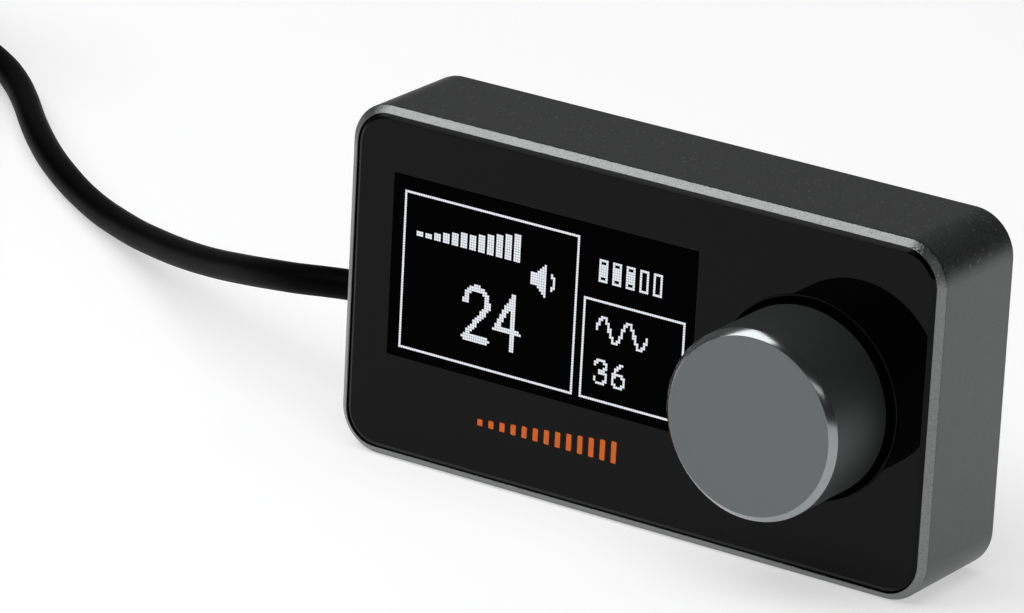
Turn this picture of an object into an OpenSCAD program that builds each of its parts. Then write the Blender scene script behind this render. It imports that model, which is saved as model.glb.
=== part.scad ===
// Bass remote control: a small metal box with a display, a turn-and-push knob and a cable.
// X runs to the right, Y to the back and Z up, in millimetres.
// The origin is the middle of the housing's underside.
// Depths in the names ending in _f are measured backwards from the front rim.

/* [Housing] */
// Width of the housing
body_w = 71; // [69:0.5:90]
// Height of the housing
body_h = 38.1; // [37:0.1:50]
// Depth of the housing, from front rim to rear edge
body_d = 13.6; // [13:0.1:20]
// Radius of the four long corners
corner_r = 4.6; // [3.6:0.1:6]
// Thickness of the side walls
wall = 2; // [1.7:0.1:2.2]
// Width of the bevelled rim, seen from the front
rim_w = 0.85; // [0.6:0.05:1.1]
// Depth of the bevelled rim
rim_d = 0.65; // [0.4:0.05:1]

/* [Front panel] */
// Thickness of the gloss panel
panel_t = 2; // [1.6:0.1:2.3]
// Gap between panel and rim
panel_gap = 0.2; // [0.1:0.05:0.3]
// Width of the bevel along the panel's front edge
panel_edge_w = 0.45; // [0.2:0.05:0.7]
// Depth of that bevel
panel_edge_d = 0.2; // [0.05:0.01:0.3]
// Thickness of the tape that holds the panel on its ledge
tape_t = 0.15; // [0.1:0.05:0.3]

/* [Display] */
// Width of the display window
view_w = 37.1; // [34:0.1:38]
// Height of the display window
view_h = 19.8; // [18:0.1:21]
// Distance from the housing's left side to the window
view_left = 5.65; // [5.6:0.05:7]
// Height of the window's centre above the housing's centre
view_rise = 2.35; // [1:0.05:2.6]
// Gap around the window in its opening
window_gap = 0.05; // [0.03:0.01:0.1]
// Width of the display glass beyond the window, at each side
glass_side = 2.55; // [1.5:0.05:2.6]
// Thickness of the display glass
glass_t = 1.3; // [1:0.1:1.6]
// Height of the glass edge above the window
glass_top = 2; // [1:0.1:3]
// Height of the glass edge below the window, where its driver sits
glass_foot = 5.4; // [4:0.1:6]
// Thickness of the sealing frame in front of the glass
gasket_t = 0.3; // [0.25:0.05:0.5]
// Width of the sealing frame behind the window's edge
gasket_lip = 0.9; // [0.5:0.1:1.5]
// Thickness of the polarising film
polariser_t = 0.2; // [0.1:0.05:0.2]
// Thickness of the foam pad behind the glass
pad_t = 1; // [0.6:0.1:1.4]
// Thickness of the tray's side walls
tray_wall = 0.6; // [0.4:0.1:0.7]
// Thickness of the tray's floor
tray_floor = 1.2; // [0.8:0.1:1.6]
// Width of the display's flat cable
flex_w = 12; // [8:0.5:13]
// Thickness of the display's flat cable
flex_t = 0.15; // [0.1:0.01:0.25]

/* [Knob] */
// Diameter of the knob
knob_d = 19.9; // [18:0.1:22]
// Length of the knob
knob_l = 9.8; // [9:0.05:14]
// Width of the panel's well beyond the knob's side
well_gap = 0.45; // [0.4:0.05:1.1]
// Thickness of the panel under the well
well_floor = 0.8; // [0.6:0.1:1]
// Gap between the pressed knob and the well's floor
knob_gap = 1.4; // [0.3:0.05:1.6]
// Bevel around the knob's face
knob_edge = 0.66; // [0.3:0.01:1]
// Wall of the metal cap
knob_wall = 1.3; // [0.8:0.1:1.6]
// Thickness of the metal cap's face
knob_face_t = 1.6; // [1:0.1:2]
// Shift of the knob's axis to the left of the middle between the window and the housing's right side
knob_shift = 0.9; // [-2:0.05:2]
// Height of the knob's axis above the housing's centre
knob_rise = -0.18; // [-2:0.01:2]

/* [Encoder] */
// Diameter of the encoder shaft
shaft_d = 6; // [5:0.1:6.2]
// Distance from the shaft's axis to its flat
shaft_flat = 1.5; // [1:0.1:2]
// Diameter of the threaded bushing
bushing_d = 7; // [6.8:0.1:7.5]
// Length of bushing in front of the well's floor
bushing_out = 3; // [2.8:0.1:3.4]
// Width of the nut across its flats
nut_af = 10; // [9:0.1:11]
// Thickness of the nut
nut_t = 2; // [1.5:0.1:2.2]
// Thickness of the washer
washer_t = 0.5; // [0.3:0.1:0.6]
// Width of the encoder's plastic base
encoder_w = 11.6; // [11.2:0.1:12]
// Depth of the encoder from panel to board
encoder_depth = 6.6; // [6.4:0.1:7.2]
// Travel of the knob when it is pressed
push = 0.5; // [0.3:0.05:0.55]
// Radial clearance of the running fits
run_fit = 0.05; // [0.02:0.01:0.1]

/* [Board] */
// Thickness of the circuit board
board_t = 1.2; // [0.8:0.1:1.4]
// Gap between the board and the housing, above and below
board_gap = 0.5; // [0.4:0.1:1]
// Diameter of the board screws
board_screw_d = 1.5; // [1.2:0.1:1.8]
// Length of the board screws under the head
board_screw_l = 3.6; // [2.5:0.1:4.5]

/* [Rear cover] */
// Thickness of the rear cover
cover_t = 1.5; // [1.2:0.1:1.8]
// Width of the housing's edge around the rear cover
cover_rim = 1; // [0.8:0.1:1.3]
// Gap around the rear cover
cover_gap = 0.1; // [0.05:0.05:0.2]
// Diameter of the rear screws
screw_d = 2; // [1.6:0.1:2.2]
// Diameter of the rear screws' heads
screw_head_d = 3.8; // [3.4:0.1:4]
// Length of the rear screws
screw_l = 5; // [4:0.1:5.4]
// Distance of the rear screws from the housing's sides
screw_inset = 4.6; // [4.4:0.1:5]

/* [Cable] */
// Diameter of the cable
cable_d = 3.3; // [2.8:0.1:3.4]
// Height of the cable's exit above the underside
exit_z = 14; // [12:0.5:22]
// Diameter of the grommet's sleeve in the wall
gland_d = 5; // [4.6:0.1:5.2]
// Thickness of the grommet's outer flange
gland_lip = 1.5; // [1:0.1:2]
// Loops in the stored coil
coil_turns = 23.25; // [11.25:4:23.25]
// Diameter of the coil at the middle of its turns
coil_mid_d = 38.4; // [37:0.1:46]
// Gap between neighbouring turns
coil_gap = 0.5; // [0.45:0.05:1]
// Thickness of the coil's tie
tie_t = 0.7; // [0.4:0.1:1]
// Width of the coil's tie
tie_w = 3; // [2:0.1:3]
// Diameter of the plug's grip
grip_d = 9.4; // [8.8:0.1:11]
// Length of the plug's grip
grip_l = 17; // [14:0.5:25]
// Diameter of the plug's metal shell
shell_d = 8.8; // [8:0.1:8.8]
// Length of the plug's metal shell
shell_l = 8; // [6:0.5:10]

/* [Hidden] */
$fn = 48;
cut = 1;
seat_gap = 0.3;
slack = 0.1;

// Places of the main pieces
front_y = -body_d / 2;
mid_z = body_h / 2;
view_x = -body_w / 2 + view_left + view_w / 2;
view_z = mid_z + view_rise;
view_right = view_x + view_w / 2;
knob_x = (view_right + body_w / 2) / 2 - knob_shift;
knob_z = mid_z + knob_rise;

// Well in the panel behind the knob, which is never wider than the room beside the window
well_web = 0.8;
well_room = min(knob_x - view_right, body_w / 2 - rim_w - panel_gap - panel_edge_w - knob_x) - well_web;
cap_d = min(knob_d, 2 * (well_room - well_gap));
well_d = cap_d + 2 * well_gap;
well_depth = panel_t - well_floor;

// Display stack, front to back
glass_w = view_w + 2 * glass_side;
glass_h = view_h + glass_top + glass_foot;
glass_z = view_z + (glass_top - glass_foot) / 2;
glass_low = glass_z - glass_h / 2;
glass_f = panel_t + gasket_t;
pad_f = glass_f + glass_t;
tray_f = pad_f + pad_t;
tray_back_f = tray_f + tray_floor;
tray_gap = 0.2;
tray_reach = tray_gap + tray_wall;
pad_inset = 2;
gasket_inset = 0.3;

// Encoder stack, front to back
frame_t = 0.6;
leg_t = 0.4;
leg_w = 5;
flange_t = 0.8;
flange_lip = 1.5;
flange_d = bushing_d + 2 * flange_lip;
bushing_f = well_depth - bushing_out;
washer_f = well_depth - washer_t;
washer_lip = 0.2;
web_t = 0.4;
switch_depth = 1.6;
switch_cover_t = 0.4;
dome_h = 0.55;
board_f = panel_t + encoder_depth;
board_back_f = board_f + board_t;
flange_f = panel_t + frame_t;
base_f = flange_f + flange_t;
switch_f = board_f - switch_depth;
web_f = switch_f - web_t;
clip_t = 0.3;
clip_rim = 1;
groove = 0.5;
clip_f = base_f + slack / 2;
rotor_f = clip_f + clip_t + push + slack;
rotor_t = 1.3;
contact_t = 0.2;
contact_bore = shaft_d + 1;
chamber_wall = 0.9;
chamber_d = encoder_w - 2 * chamber_wall;
rotor_d = chamber_d - 2 * seat_gap;
tip_d = shaft_d / 2;
dome_d = 5.6;
dome_room = 0.7;
switch_d = dome_d + 2 * dome_room;
plunger_d = 4.6;
dome_f = board_f - switch_cover_t - dome_h;
plunger_f = switch_f + slack;
plunger_t = dome_f - slack / 2 - plunger_f;
shaft_step_f = rotor_f + rotor_t + contact_t + slack;

// Knob, front to back
knob_base_f = well_depth - push - knob_gap;
knob_front_f = knob_base_f - knob_l;
hub_front_f = knob_front_f + knob_face_t;
hub_recess = 0.2;
hub_room = 0.5;
hub_back_f = knob_base_f - hub_recess;
hub_pocket_f = well_depth - bushing_out - push - hub_room;
hub_pocket_d = nut_af / cos(30) + 2 * hub_room;
shaft_front_f = hub_front_f + seat_gap + slack;
shaft_round_f = well_depth - bushing_out - push - slack;
hub_press = 0.02;

// Rear cover and screws
cover_f = body_d - cover_t;
boss_wall = 1.6;
boss_d = screw_d + 2 * boss_wall;
boss_l = 4.5;
screw_xs = [-body_w / 2 + screw_inset, body_w / 2 - screw_inset];
screw_zs = [screw_inset, body_h - screw_inset];
head_h = (screw_head_d - screw_d) / 2;

// Circuit board, carried on four posts of the display tray
post_wall = 0.95;
post_edge = 0.25;
post_left = 1.8;
board_side = 0.7;
board_low = wall + board_gap;
board_high = body_h - wall - board_gap;
post_d = board_screw_d + 2 * post_wall;
post_xs = [view_x - post_left, view_x + glass_w / 2 - post_d / 2];
post_zs = [board_low + post_edge + post_d / 2, board_high - post_edge - post_d / 2];
board_left = post_xs[0] - post_d / 2 - post_edge;
board_right = knob_x + encoder_w / 2 + leg_t + board_side;
board_notch = screw_inset + boss_d / 2 + seat_gap;
terminal_w = 0.8;
terminal_t = 0.4;
terminal_out = 0.7;
terminal_step = 2.5;
terminal_places = [[-1, -1], [0, -1], [1, -1], [-1, 1], [1, 1]];
terminal_row = encoder_w / 2 - chamber_wall;

// Flat cable of the display, a U close under the tray
flex_x = post_xs[0] + post_d / 2 + board_side + flex_w / 2;
flex_front_f = glass_f + glass_t / 2;
flex_lift = 0.4;
flex_back_f = board_f - flex_lift;
flex_r = 0.8;
flex_low = glass_low - tray_reach - board_side;
socket_rim = 1;
socket_h = 4;
socket_t = 1.1;
socket_rise = 2;
socket_z = glass_low + socket_rise;

// Small parts on the board: middle in X and Z, size in X, Y and Z
board_mid_x = (board_left + board_right) / 2;
part_gap = 1;
processor_size = [7, 1, 7];
processor_at = [board_mid_x - 3, mid_z + 3];
capacitor_size = [1.6, 0.8, 0.8];
resistor_size = [1.6, 0.5, 0.8];
chip_step = 2.2;
capacitor_z = processor_at[1] - (processor_size[2] + capacitor_size[2]) / 2 - part_gap;
resistor_z = processor_at[1] + (processor_size[2] + resistor_size[2]) / 2 + part_gap;
crystal_size = [5, 0.9, 3.2];
crystal_at = [processor_at[0], resistor_z + (resistor_size[2] + crystal_size[2]) / 2 + part_gap];
regulator_size = [6.5, 1.6, 3.5];
regulator_left = 6;
regulator_at = [board_left + regulator_left + regulator_size[0] / 2, crystal_at[1]];

// Cable exit, connector and inner leads
exit_y = front_y + (tray_back_f + cover_f) / 2;
gland_x = -body_w / 2 - gland_lip;
gland_rim = 1;
inner_rim = 0.35;
inner_flange_t = 1;
strain_l = 2;
strain_wall = 1;
strip_l = 3;
lead_in_x = -body_w / 2 + wall + inner_flange_t + strain_l + strip_l;
bore_fit = 0.05;
header_size = [4.2, 1.9, 9];
header_edge = 0.4;
header_x = board_left + header_edge;
plug_in_size = [4.5, 1.7, 8];
lead_d = 0.8;
lead_step = 1.5;
lead_count = 5;
lead_close = 0.9;
lead_stagger = 0.6;

// Route of the cable's free stretch, from the grommet to the stored coil
coil_x = -165.5;
coil_y = 44;
coil_angle = 90;
rings_per_loop = 24;
layers = 4;
coil_pitch = cable_d + coil_gap;
leg_turns = coil_turns / layers;
coil_out_r = coil_mid_d / 2 + coil_pitch * leg_turns / 2;
coil_in_r = coil_mid_d / 2 - coil_pitch * leg_turns / 2;
coil_low_z = tie_t + seat_gap + cable_d / 2;
coil_high_z = coil_low_z + (layers - 1) * coil_pitch;
lead_on = 2;
floor_gap = 0.05;
floor_z = cable_d / 2 + floor_gap;
route = [
    [gland_x, exit_y, exit_z], [-40.5, exit_y, exit_z], [-44, 2.2, 13.6], [-48, 2.7, 12.9], [-52, 4.1, 12],
    [-56, 6.1, 10.9], [-60, 8.5, 9.7], [-64, 11, 8.5], [-68, 13.5, 7.4], [-72, 16.1, 6.35], [-76, 18.7, 5.4],
    [-80, 21.4, 4.5], [-85, 24.7, 3.5], [-90, 28.1, 2.7], [-95.5, 31.7, 2.1], [-101.5, 35.9, 1.75],
    [-106.5, 39.6, floor_z], [-111.5, 43.6, floor_z], [-116.5, 48.1, floor_z], [-121.5, 53, floor_z],
    [-126.5, 58.2, floor_z], [-131.5, 63, floor_z], [-137, 67.4, 1.75], [-143, 70.8, 1.85],
    [-149.5, 73, 2.1], [-156, 74.1, 2.45],
    [coil_x + cable_d + lead_on, coil_y + coil_out_r, coil_low_z],
    [coil_x + cable_d, coil_y + coil_out_r, coil_low_z]
];

// Short end of the cable, down from the top of the coil to the plug: distance and share of the drop
plug_x = coil_x - coil_out_r;
plug_z = grip_d / 2;
end_steps = [[0, 1], [4, 1], [10, 0.9], [16, 0.68], [22, 0.38], [28, 0.12], [34, 0], [38, 0]];
end_y = coil_y - cable_d;
plug_y = end_y - end_steps[len(end_steps) - 1][0];
shell_wall = 0.4;
pin_d = 1;
pin_l = 5;
pin_circle_d = 5;
pin_count = 6;
insert_t = 2;
tie_angle = 135;
tie_fit = 0.5;

// A depth behind the front rim as a Y coordinate
function y_at(f) = front_y + f;

// Outline helpers, drawn in X and Z
module rounded(w, h, r) {
    square([w - 2 * r, h], center = true);
    square([w, h - 2 * r], center = true);
    for (sx = [-1, 1], sz = [-1, 1])
        translate([sx * (w / 2 - r), sz * (h / 2 - r)])
            circle(r = r);
}

// Extrudes an X-Z outline between two depths
module slab(f0, f1) {
    translate([0, y_at(f1), 0])
        rotate([90, 0, 0])
            linear_extrude(height = f1 - f0)
                children();
}

// A rounded plate on the housing's centre line, inset by the same amount all round
module body_plate(inset, f0, f1) {
    slab(f0, f1)
        translate([0, mid_z])
            rounded(body_w - 2 * inset, body_h - 2 * inset, corner_r - inset);
}

// Such a plate with a bevelled front edge: four turned corners and two crossing prisms
module bevelled_plate(inset, bevel_w, bevel_d, f0, f1) {
    w = body_w - 2 * inset;
    h = body_h - 2 * inset;
    r = corner_r - inset;
    t = f1 - f0;
    y0 = y_at(f0);
    for (sx = [-1, 1], sz = [-1, 1])
        translate([sx * (w / 2 - r), y0, mid_z + sz * (h / 2 - r)])
            rotate([-90, 0, 0])
                rotate_extrude()
                    polygon([[0, 0], [r - bevel_w, 0], [r, bevel_d], [r, t], [0, t]]);
    translate([-w / 2 + r, y0, mid_z])
        rotate([90, 0, 90])
            linear_extrude(height = w - 2 * r)
                bevelled_profile(h, t, bevel_w, bevel_d);
    translate([0, y0, mid_z - h / 2 + r])
        linear_extrude(height = h - 2 * r)
            mirror([1, -1])
                bevelled_profile(w, t, bevel_w, bevel_d);
}

// Cross-section of that plate: depth along the first axis, width along the second
module bevelled_profile(w, t, bevel_w, bevel_d) {
    polygon([
        [0, bevel_w - w / 2], [bevel_d, -w / 2], [t, -w / 2],
        [t, w / 2], [bevel_d, w / 2], [0, w / 2 - bevel_w]
    ]);
}

// A round bar along Y between two depths
module bar(x, z, f0, f1, d) {
    translate([x, y_at(f0), z])
        rotate([-90, 0, 0])
            cylinder(h = f1 - f0, d = d);
}

// A bar on the knob's axis
module knob_bar(f0, f1, d) {
    bar(knob_x, knob_z, f0, f1, d);
}

// A bar on the knob's axis with one flat, facing up
module d_bar(f0, f1, d, flat) {
    difference() {
        knob_bar(f0, f1, d);
        translate([knob_x - d, y_at(f0) - cut, knob_z + flat])
            cube([2 * d, f1 - f0 + 2 * cut, d]);
    }
}

// A round bar along X
module cross_bar(x0, x1, y, z, d) {
    translate([x0, y, z])
        rotate([0, 90, 0])
            cylinder(h = x1 - x0, d = d);
}

// A box between two depths, centred in X and Z
module block(x, z, w, h, f0, f1) {
    translate([x - w / 2, y_at(f0), z - h / 2])
        cube([w, f1 - f0, h]);
}

// Solid corner behind a rear screw, grown out of the two walls
module screw_boss(sx, sz) {
    x = sx * (body_w / 2 - screw_inset);
    z = mid_z + sz * (body_h / 2 - screw_inset);
    intersection() {
        body_plate(wall / 2, cover_f - boss_l, cover_f);
        union() {
            bar(x, z, cover_f - boss_l, cover_f, boss_d);
            block(x + sx * screw_inset / 2, z, screw_inset, boss_d, cover_f - boss_l, cover_f);
            block(x, z + sz * screw_inset / 2, boss_d, screw_inset, cover_f - boss_l, cover_f);
        }
    }
}

module housing() {
    color([0.25, 0.25, 0.26])
        difference() {
            union() {
                difference() {
                    bevelled_plate(0, rim_w, rim_d, 0, body_d);
                    body_plate(rim_w, -cut, panel_t + tape_t);
                    body_plate(wall, -cut, body_d + cut);
                    body_plate(cover_rim, cover_f, body_d + cut);
                }
                for (sx = [-1, 1], sz = [-1, 1])
                    screw_boss(sx, sz);
            }
            for (x = screw_xs, z = screw_zs)
                bar(x, z, cover_f - screw_l, cover_f + cut, screw_d + 2 * run_fit);
            cross_bar(-body_w / 2 - cut, -body_w / 2 + wall + cut, exit_y, exit_z, gland_d);
        }
}

module front_panel() {
    inset = rim_w + panel_gap;
    color([0.03, 0.03, 0.03])
        difference() {
            bevelled_plate(inset, panel_edge_w, panel_edge_d, 0, panel_t);
            block(view_x, view_z, view_w, view_h, -cut, panel_t + cut);
            knob_bar(-cut, well_depth, well_d);
            knob_bar(-cut, panel_t + cut, bushing_d + 2 * slack);
        }
}

module panel_tape() {
    color([0.1, 0.1, 0.1])
        difference() {
            body_plate(rim_w + panel_gap + slack, panel_t, panel_t + tape_t);
            body_plate(wall - slack, panel_t - cut, panel_t + tape_t + cut);
        }
}

module display_window() {
    color([0.02, 0.02, 0.02])
        block(view_x, view_z, view_w - 2 * window_gap, view_h - 2 * window_gap, 0, panel_t);
}

module display_gasket() {
    color([0.08, 0.08, 0.08])
        difference() {
            block(view_x, glass_z, glass_w - 2 * gasket_inset, glass_h - 2 * gasket_inset,
                panel_t, glass_f);
            block(view_x, view_z, view_w - 2 * gasket_lip, view_h - 2 * gasket_lip,
                panel_t - cut, glass_f + cut);
        }
}

module display_polariser() {
    film_inset = gasket_lip + slack;
    color([0.1, 0.1, 0.12])
        block(view_x, view_z, view_w - 2 * film_inset, view_h - 2 * film_inset,
            glass_f - polariser_t, glass_f);
}

module display_glass() {
    color([0.15, 0.17, 0.2])
        block(view_x, glass_z, glass_w, glass_h, glass_f, pad_f);
}

module display_pad() {
    color([0.3, 0.3, 0.3])
        block(view_x, glass_z, glass_w - 2 * pad_inset, glass_h - 2 * pad_inset, pad_f, tray_f);
}

module display_tray() {
    tray_w = glass_w + 2 * tray_reach;
    tray_h = glass_h + 2 * tray_reach;
    color([0.12, 0.12, 0.12])
        difference() {
            union() {
                difference() {
                    block(view_x, glass_z, tray_w, tray_h, panel_t, tray_back_f);
                    block(view_x, glass_z, glass_w + 2 * tray_gap, glass_h + 2 * tray_gap,
                        panel_t - cut, tray_f);
                }
                for (x = post_xs, z = post_zs) {
                    bar(x, z, tray_f, board_f, post_d);
                    block(x, (z + glass_z) / 2, post_d, abs(z - glass_z), tray_f, tray_back_f);
                }
            }
            for (x = post_xs, z = post_zs)
                bar(x, z, tray_back_f - tray_floor / 2, board_f + cut, board_screw_d + 2 * run_fit);
            block(flex_x, glass_low, flex_w + 2 * seat_gap, 4 * tray_reach, panel_t - cut, tray_f);
        }
}

// A U of ribbon: down from the glass, round under the tray and up to its socket
module display_flex() {
    span = flex_back_f - flex_front_f;
    mid_f = (flex_front_f + flex_back_f) / 2;
    color([0.75, 0.45, 0.1])
        translate([flex_x - flex_w / 2, 0, 0])
            rotate([90, 0, 90])
                linear_extrude(height = flex_w) {
                    translate([y_at(flex_front_f), flex_low + flex_r])
                        square([flex_t, glass_low - flex_low - flex_r]);
                    translate([y_at(flex_back_f) - flex_t, flex_low + flex_r])
                        square([flex_t, socket_z - flex_low - flex_r]);
                    intersection() {
                        translate([y_at(mid_f), flex_low + span / 2])
                            difference() {
                                rounded(span, span, flex_r);
                                rounded(span - 2 * flex_t, span - 2 * flex_t, flex_r - flex_t);
                            }
                        translate([y_at(flex_front_f), flex_low])
                            square([span, flex_r]);
                    }
                }
}

module flex_socket() {
    color([0.85, 0.82, 0.74])
        block(flex_x, socket_z + socket_h / 2, flex_w + 2 * socket_rim, socket_h,
            board_f - socket_t, board_f);
}

module main_board() {
    board_w = board_right - board_left;
    board_h = board_high - board_low;
    color([0.05, 0.3, 0.15])
        difference() {
            block(board_mid_x, mid_z, board_w, board_h, board_f, board_back_f);
            for (sx = [-1, 1], sz = [-1, 1])
                block(sx * (body_w - board_notch) / 2, mid_z + sz * (body_h - board_notch) / 2, board_notch,
                    board_notch, board_f - cut, board_back_f + cut);
            for (x = post_xs, z = post_zs)
                bar(x, z, board_f - cut, board_back_f + cut, board_screw_d + 2 * slack);
            for (p = terminal_places)
                bar(knob_x + p[0] * terminal_step, knob_z + p[1] * terminal_row,
                    board_f - cut, board_back_f + cut, terminal_w + 2 * slack);
            for (sx = [-1, 1])
                block(knob_x + sx * (encoder_w + leg_t + slack) / 2, knob_z, leg_t + 2 * slack,
                    leg_w + 2 * slack, board_f - cut, board_back_f + cut);
        }
}

module board_screws() {
    screw_head_t = 0.9;
    head_d = board_screw_d * 1.9;
    slot_w = board_screw_d / 5;
    color([0.7, 0.7, 0.72])
        for (x = post_xs, z = post_zs)
            difference() {
                union() {
                    bar(x, z, board_back_f - board_screw_l, board_back_f + slack, board_screw_d);
                    bar(x, z, board_back_f, board_back_f + screw_head_t, head_d);
                }
                block(x, z, board_screw_d, slot_w, board_back_f + screw_head_t / 2,
                    board_back_f + screw_head_t + cut);
                block(x, z, slot_w, board_screw_d, board_back_f + screw_head_t / 2,
                    board_back_f + screw_head_t + cut);
            }
}

// A small part on the board's front face
module on_board(at, size) {
    block(at[0], at[1], size[0], size[2], board_f - size[1], board_f);
}

module processor() {
    color([0.1, 0.1, 0.1])
        on_board(processor_at, processor_size);
}

module regulator() {
    color([0.12, 0.12, 0.12])
        on_board(regulator_at, regulator_size);
}

module crystal() {
    color([0.75, 0.75, 0.76])
        on_board(crystal_at, crystal_size);
}

module capacitors() {
    color([0.65, 0.52, 0.35])
        for (k = [0 : 4])
            on_board([processor_at[0] + (k - 2) * chip_step, capacitor_z], capacitor_size);
}

module resistors() {
    color([0.15, 0.15, 0.15])
        for (k = [0 : 5])
            on_board([processor_at[0] + (k - 2.5) * chip_step, resistor_z], resistor_size);
}

module cable_header() {
    color([0.9, 0.88, 0.8])
        block(header_x + header_size[0] / 2, exit_z, header_size[0], header_size[2],
            board_back_f, board_back_f + header_size[1]);
}

module cable_socket() {
    color([0.88, 0.86, 0.8])
        block(header_x - plug_in_size[0] / 2, exit_z, plug_in_size[0], plug_in_size[2],
            board_back_f + slack, board_back_f + slack + plug_in_size[1]);
}

// Five insulated leads fan out from the stripped end to the connector
module cable_leads() {
    x0 = lead_in_x + slack;
    x1 = header_x - plug_in_size[0] - 2 * slack;
    y1 = y_at(board_back_f + slack + plug_in_size[1] / 2);
    spread = (cable_d - lead_d) / (lead_count - 1);
    for (k = [0 : lead_count - 1]) {
        z0 = exit_z + (k - (lead_count - 1) / 2) * spread * lead_close;
        z1 = exit_z + (k - (lead_count - 1) / 2) * lead_step;
        y0 = exit_y + (k % 2 == 0 ? -1 : 1) * lead_d * lead_stagger;
        run = [x1 - x0, y1 - y0, z1 - z0];
        color([0.2 + 0.15 * k, 0.25, 0.6 - 0.1 * k])
            translate([x0, y0, z0])
                rotate([0, acos(run[2] / norm(run)), atan2(run[1], run[0])])
                    translate([0, 0, slack])
                        cylinder(h = norm(run) - 2 * slack, d = lead_d);
    }
}

module cable_lead_in() {
    color([0.05, 0.05, 0.05])
        cross_bar(gland_x, lead_in_x, exit_y, exit_z, cable_d);
}

module strain_ring() {
    x0 = -body_w / 2 + wall + inner_flange_t;
    color([0.7, 0.7, 0.72])
        difference() {
            cross_bar(x0, x0 + strain_l, exit_y, exit_z, cable_d + 2 * strain_wall);
            cross_bar(x0 - cut, x0 + strain_l + cut, exit_y, exit_z, cable_d + 2 * bore_fit);
        }
}

module cable_gland() {
    inner_x = -body_w / 2 + wall;
    color([0.06, 0.06, 0.06])
        difference() {
            union() {
                cross_bar(gland_x, -body_w / 2, exit_y, exit_z, gland_d + 2 * gland_rim);
                cross_bar(-body_w / 2 - slack, inner_x + slack, exit_y, exit_z, gland_d - 2 * bore_fit);
                cross_bar(inner_x, inner_x + inner_flange_t, exit_y, exit_z, gland_d + 2 * inner_rim);
            }
            cross_bar(gland_x - cut, inner_x + inner_flange_t + cut, exit_y, exit_z, cable_d + 2 * bore_fit);
        }
}

module encoder_frame() {
    color([0.7, 0.7, 0.72]) {
        difference() {
            block(knob_x, knob_z, encoder_w + slack + 2 * leg_t, encoder_w, panel_t, flange_f);
            knob_bar(panel_t - cut, flange_f + cut, bushing_d + 2 * run_fit);
        }
        for (sx = [-1, 1])
            block(knob_x + sx * (encoder_w + slack + leg_t) / 2, knob_z, leg_t, leg_w,
                flange_f, board_back_f + terminal_out);
    }
}

module encoder_bushing() {
    color([0.72, 0.7, 0.66])
        difference() {
            union() {
                knob_bar(bushing_f, flange_f + slack, bushing_d);
                knob_bar(flange_f, base_f, flange_d);
            }
            knob_bar(bushing_f - cut, base_f + cut, shaft_d + 2 * run_fit);
        }
}

module encoder_washer() {
    color([0.75, 0.75, 0.76])
        difference() {
            knob_bar(washer_f, well_depth, nut_af + 2 * washer_lip);
            knob_bar(washer_f - cut, well_depth + cut, bushing_d + 2 * slack);
        }
}

module encoder_nut() {
    color([0.75, 0.75, 0.76])
        difference() {
            translate([knob_x, y_at(washer_f - nut_t), knob_z])
                rotate([-90, 0, 0])
                    cylinder(h = nut_t, d = nut_af / cos(30), $fn = 6);
            knob_bar(washer_f - nut_t - cut, washer_f + cut, bushing_d + 2 * run_fit);
        }
}

module encoder_base() {
    color([0.1, 0.12, 0.14])
        difference() {
            block(knob_x, knob_z, encoder_w, encoder_w, base_f, board_f);
            knob_bar(base_f - cut, web_f, chamber_d);
            knob_bar(web_f - cut, switch_f + cut, tip_d + 2 * seat_gap);
            knob_bar(switch_f, board_f + cut, switch_d);
        }
}

module encoder_terminals() {
    color([0.8, 0.75, 0.55])
        for (p = terminal_places)
            block(knob_x + p[0] * terminal_step, knob_z + p[1] * terminal_row, terminal_w, terminal_t,
                board_f, board_back_f + terminal_out);
}

// A spring ring under the flange, with two bumps that ride on the rotor
module detent_spring() {
    ring_room = 1.2;
    ring_d = chamber_d - 2 * slack;
    ring_bore = shaft_d + 2 * ring_room;
    ring_t = 0.2;
    bump_d = (ring_d - ring_bore) / 2 - slack;
    color([0.8, 0.7, 0.45]) {
        difference() {
            knob_bar(base_f, base_f + ring_t, ring_d);
            knob_bar(base_f - cut, base_f + ring_t + cut, ring_bore);
        }
        for (sx = [-1, 1])
            bar(knob_x + sx * (ring_d + ring_bore) / 4, knob_z, base_f + ring_t / 2, rotor_f - slack, bump_d);
    }
}

module encoder_rotor() {
    color([0.9, 0.9, 0.86])
        difference() {
            knob_bar(rotor_f, rotor_f + rotor_t, rotor_d);
            d_bar(rotor_f - cut, rotor_f + rotor_t + cut, shaft_d + 2 * run_fit, shaft_flat + run_fit);
        }
}

module rotor_contact() {
    f0 = rotor_f + rotor_t;
    color([0.85, 0.7, 0.4])
        difference() {
            knob_bar(f0, f0 + contact_t, rotor_d - 2 * seat_gap);
            knob_bar(f0 - cut, f0 + contact_t + cut, contact_bore);
        }
}

module contact_plate() {
    color([0.85, 0.75, 0.5])
        difference() {
            knob_bar(web_f - contact_t, web_f, chamber_d - 2 * slack);
            knob_bar(web_f - contact_t - cut, web_f + cut, contact_bore);
        }
}

module encoder_shaft() {
    color([0.75, 0.75, 0.76])
        difference() {
            union() {
                d_bar(shaft_front_f, shaft_round_f, shaft_d, shaft_flat);
                knob_bar(shaft_round_f, rotor_f - push - slack / 2, shaft_d);
                d_bar(rotor_f - push - slack / 2, shaft_step_f, shaft_d, shaft_flat);
                knob_bar(shaft_step_f - slack, plunger_f, tip_d);
            }
            difference() {
                knob_bar(clip_f, clip_f + clip_t, shaft_d + cut);
                knob_bar(clip_f - cut, clip_f + clip_t + cut, shaft_d - 2 * groove);
            }
        }
}

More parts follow.
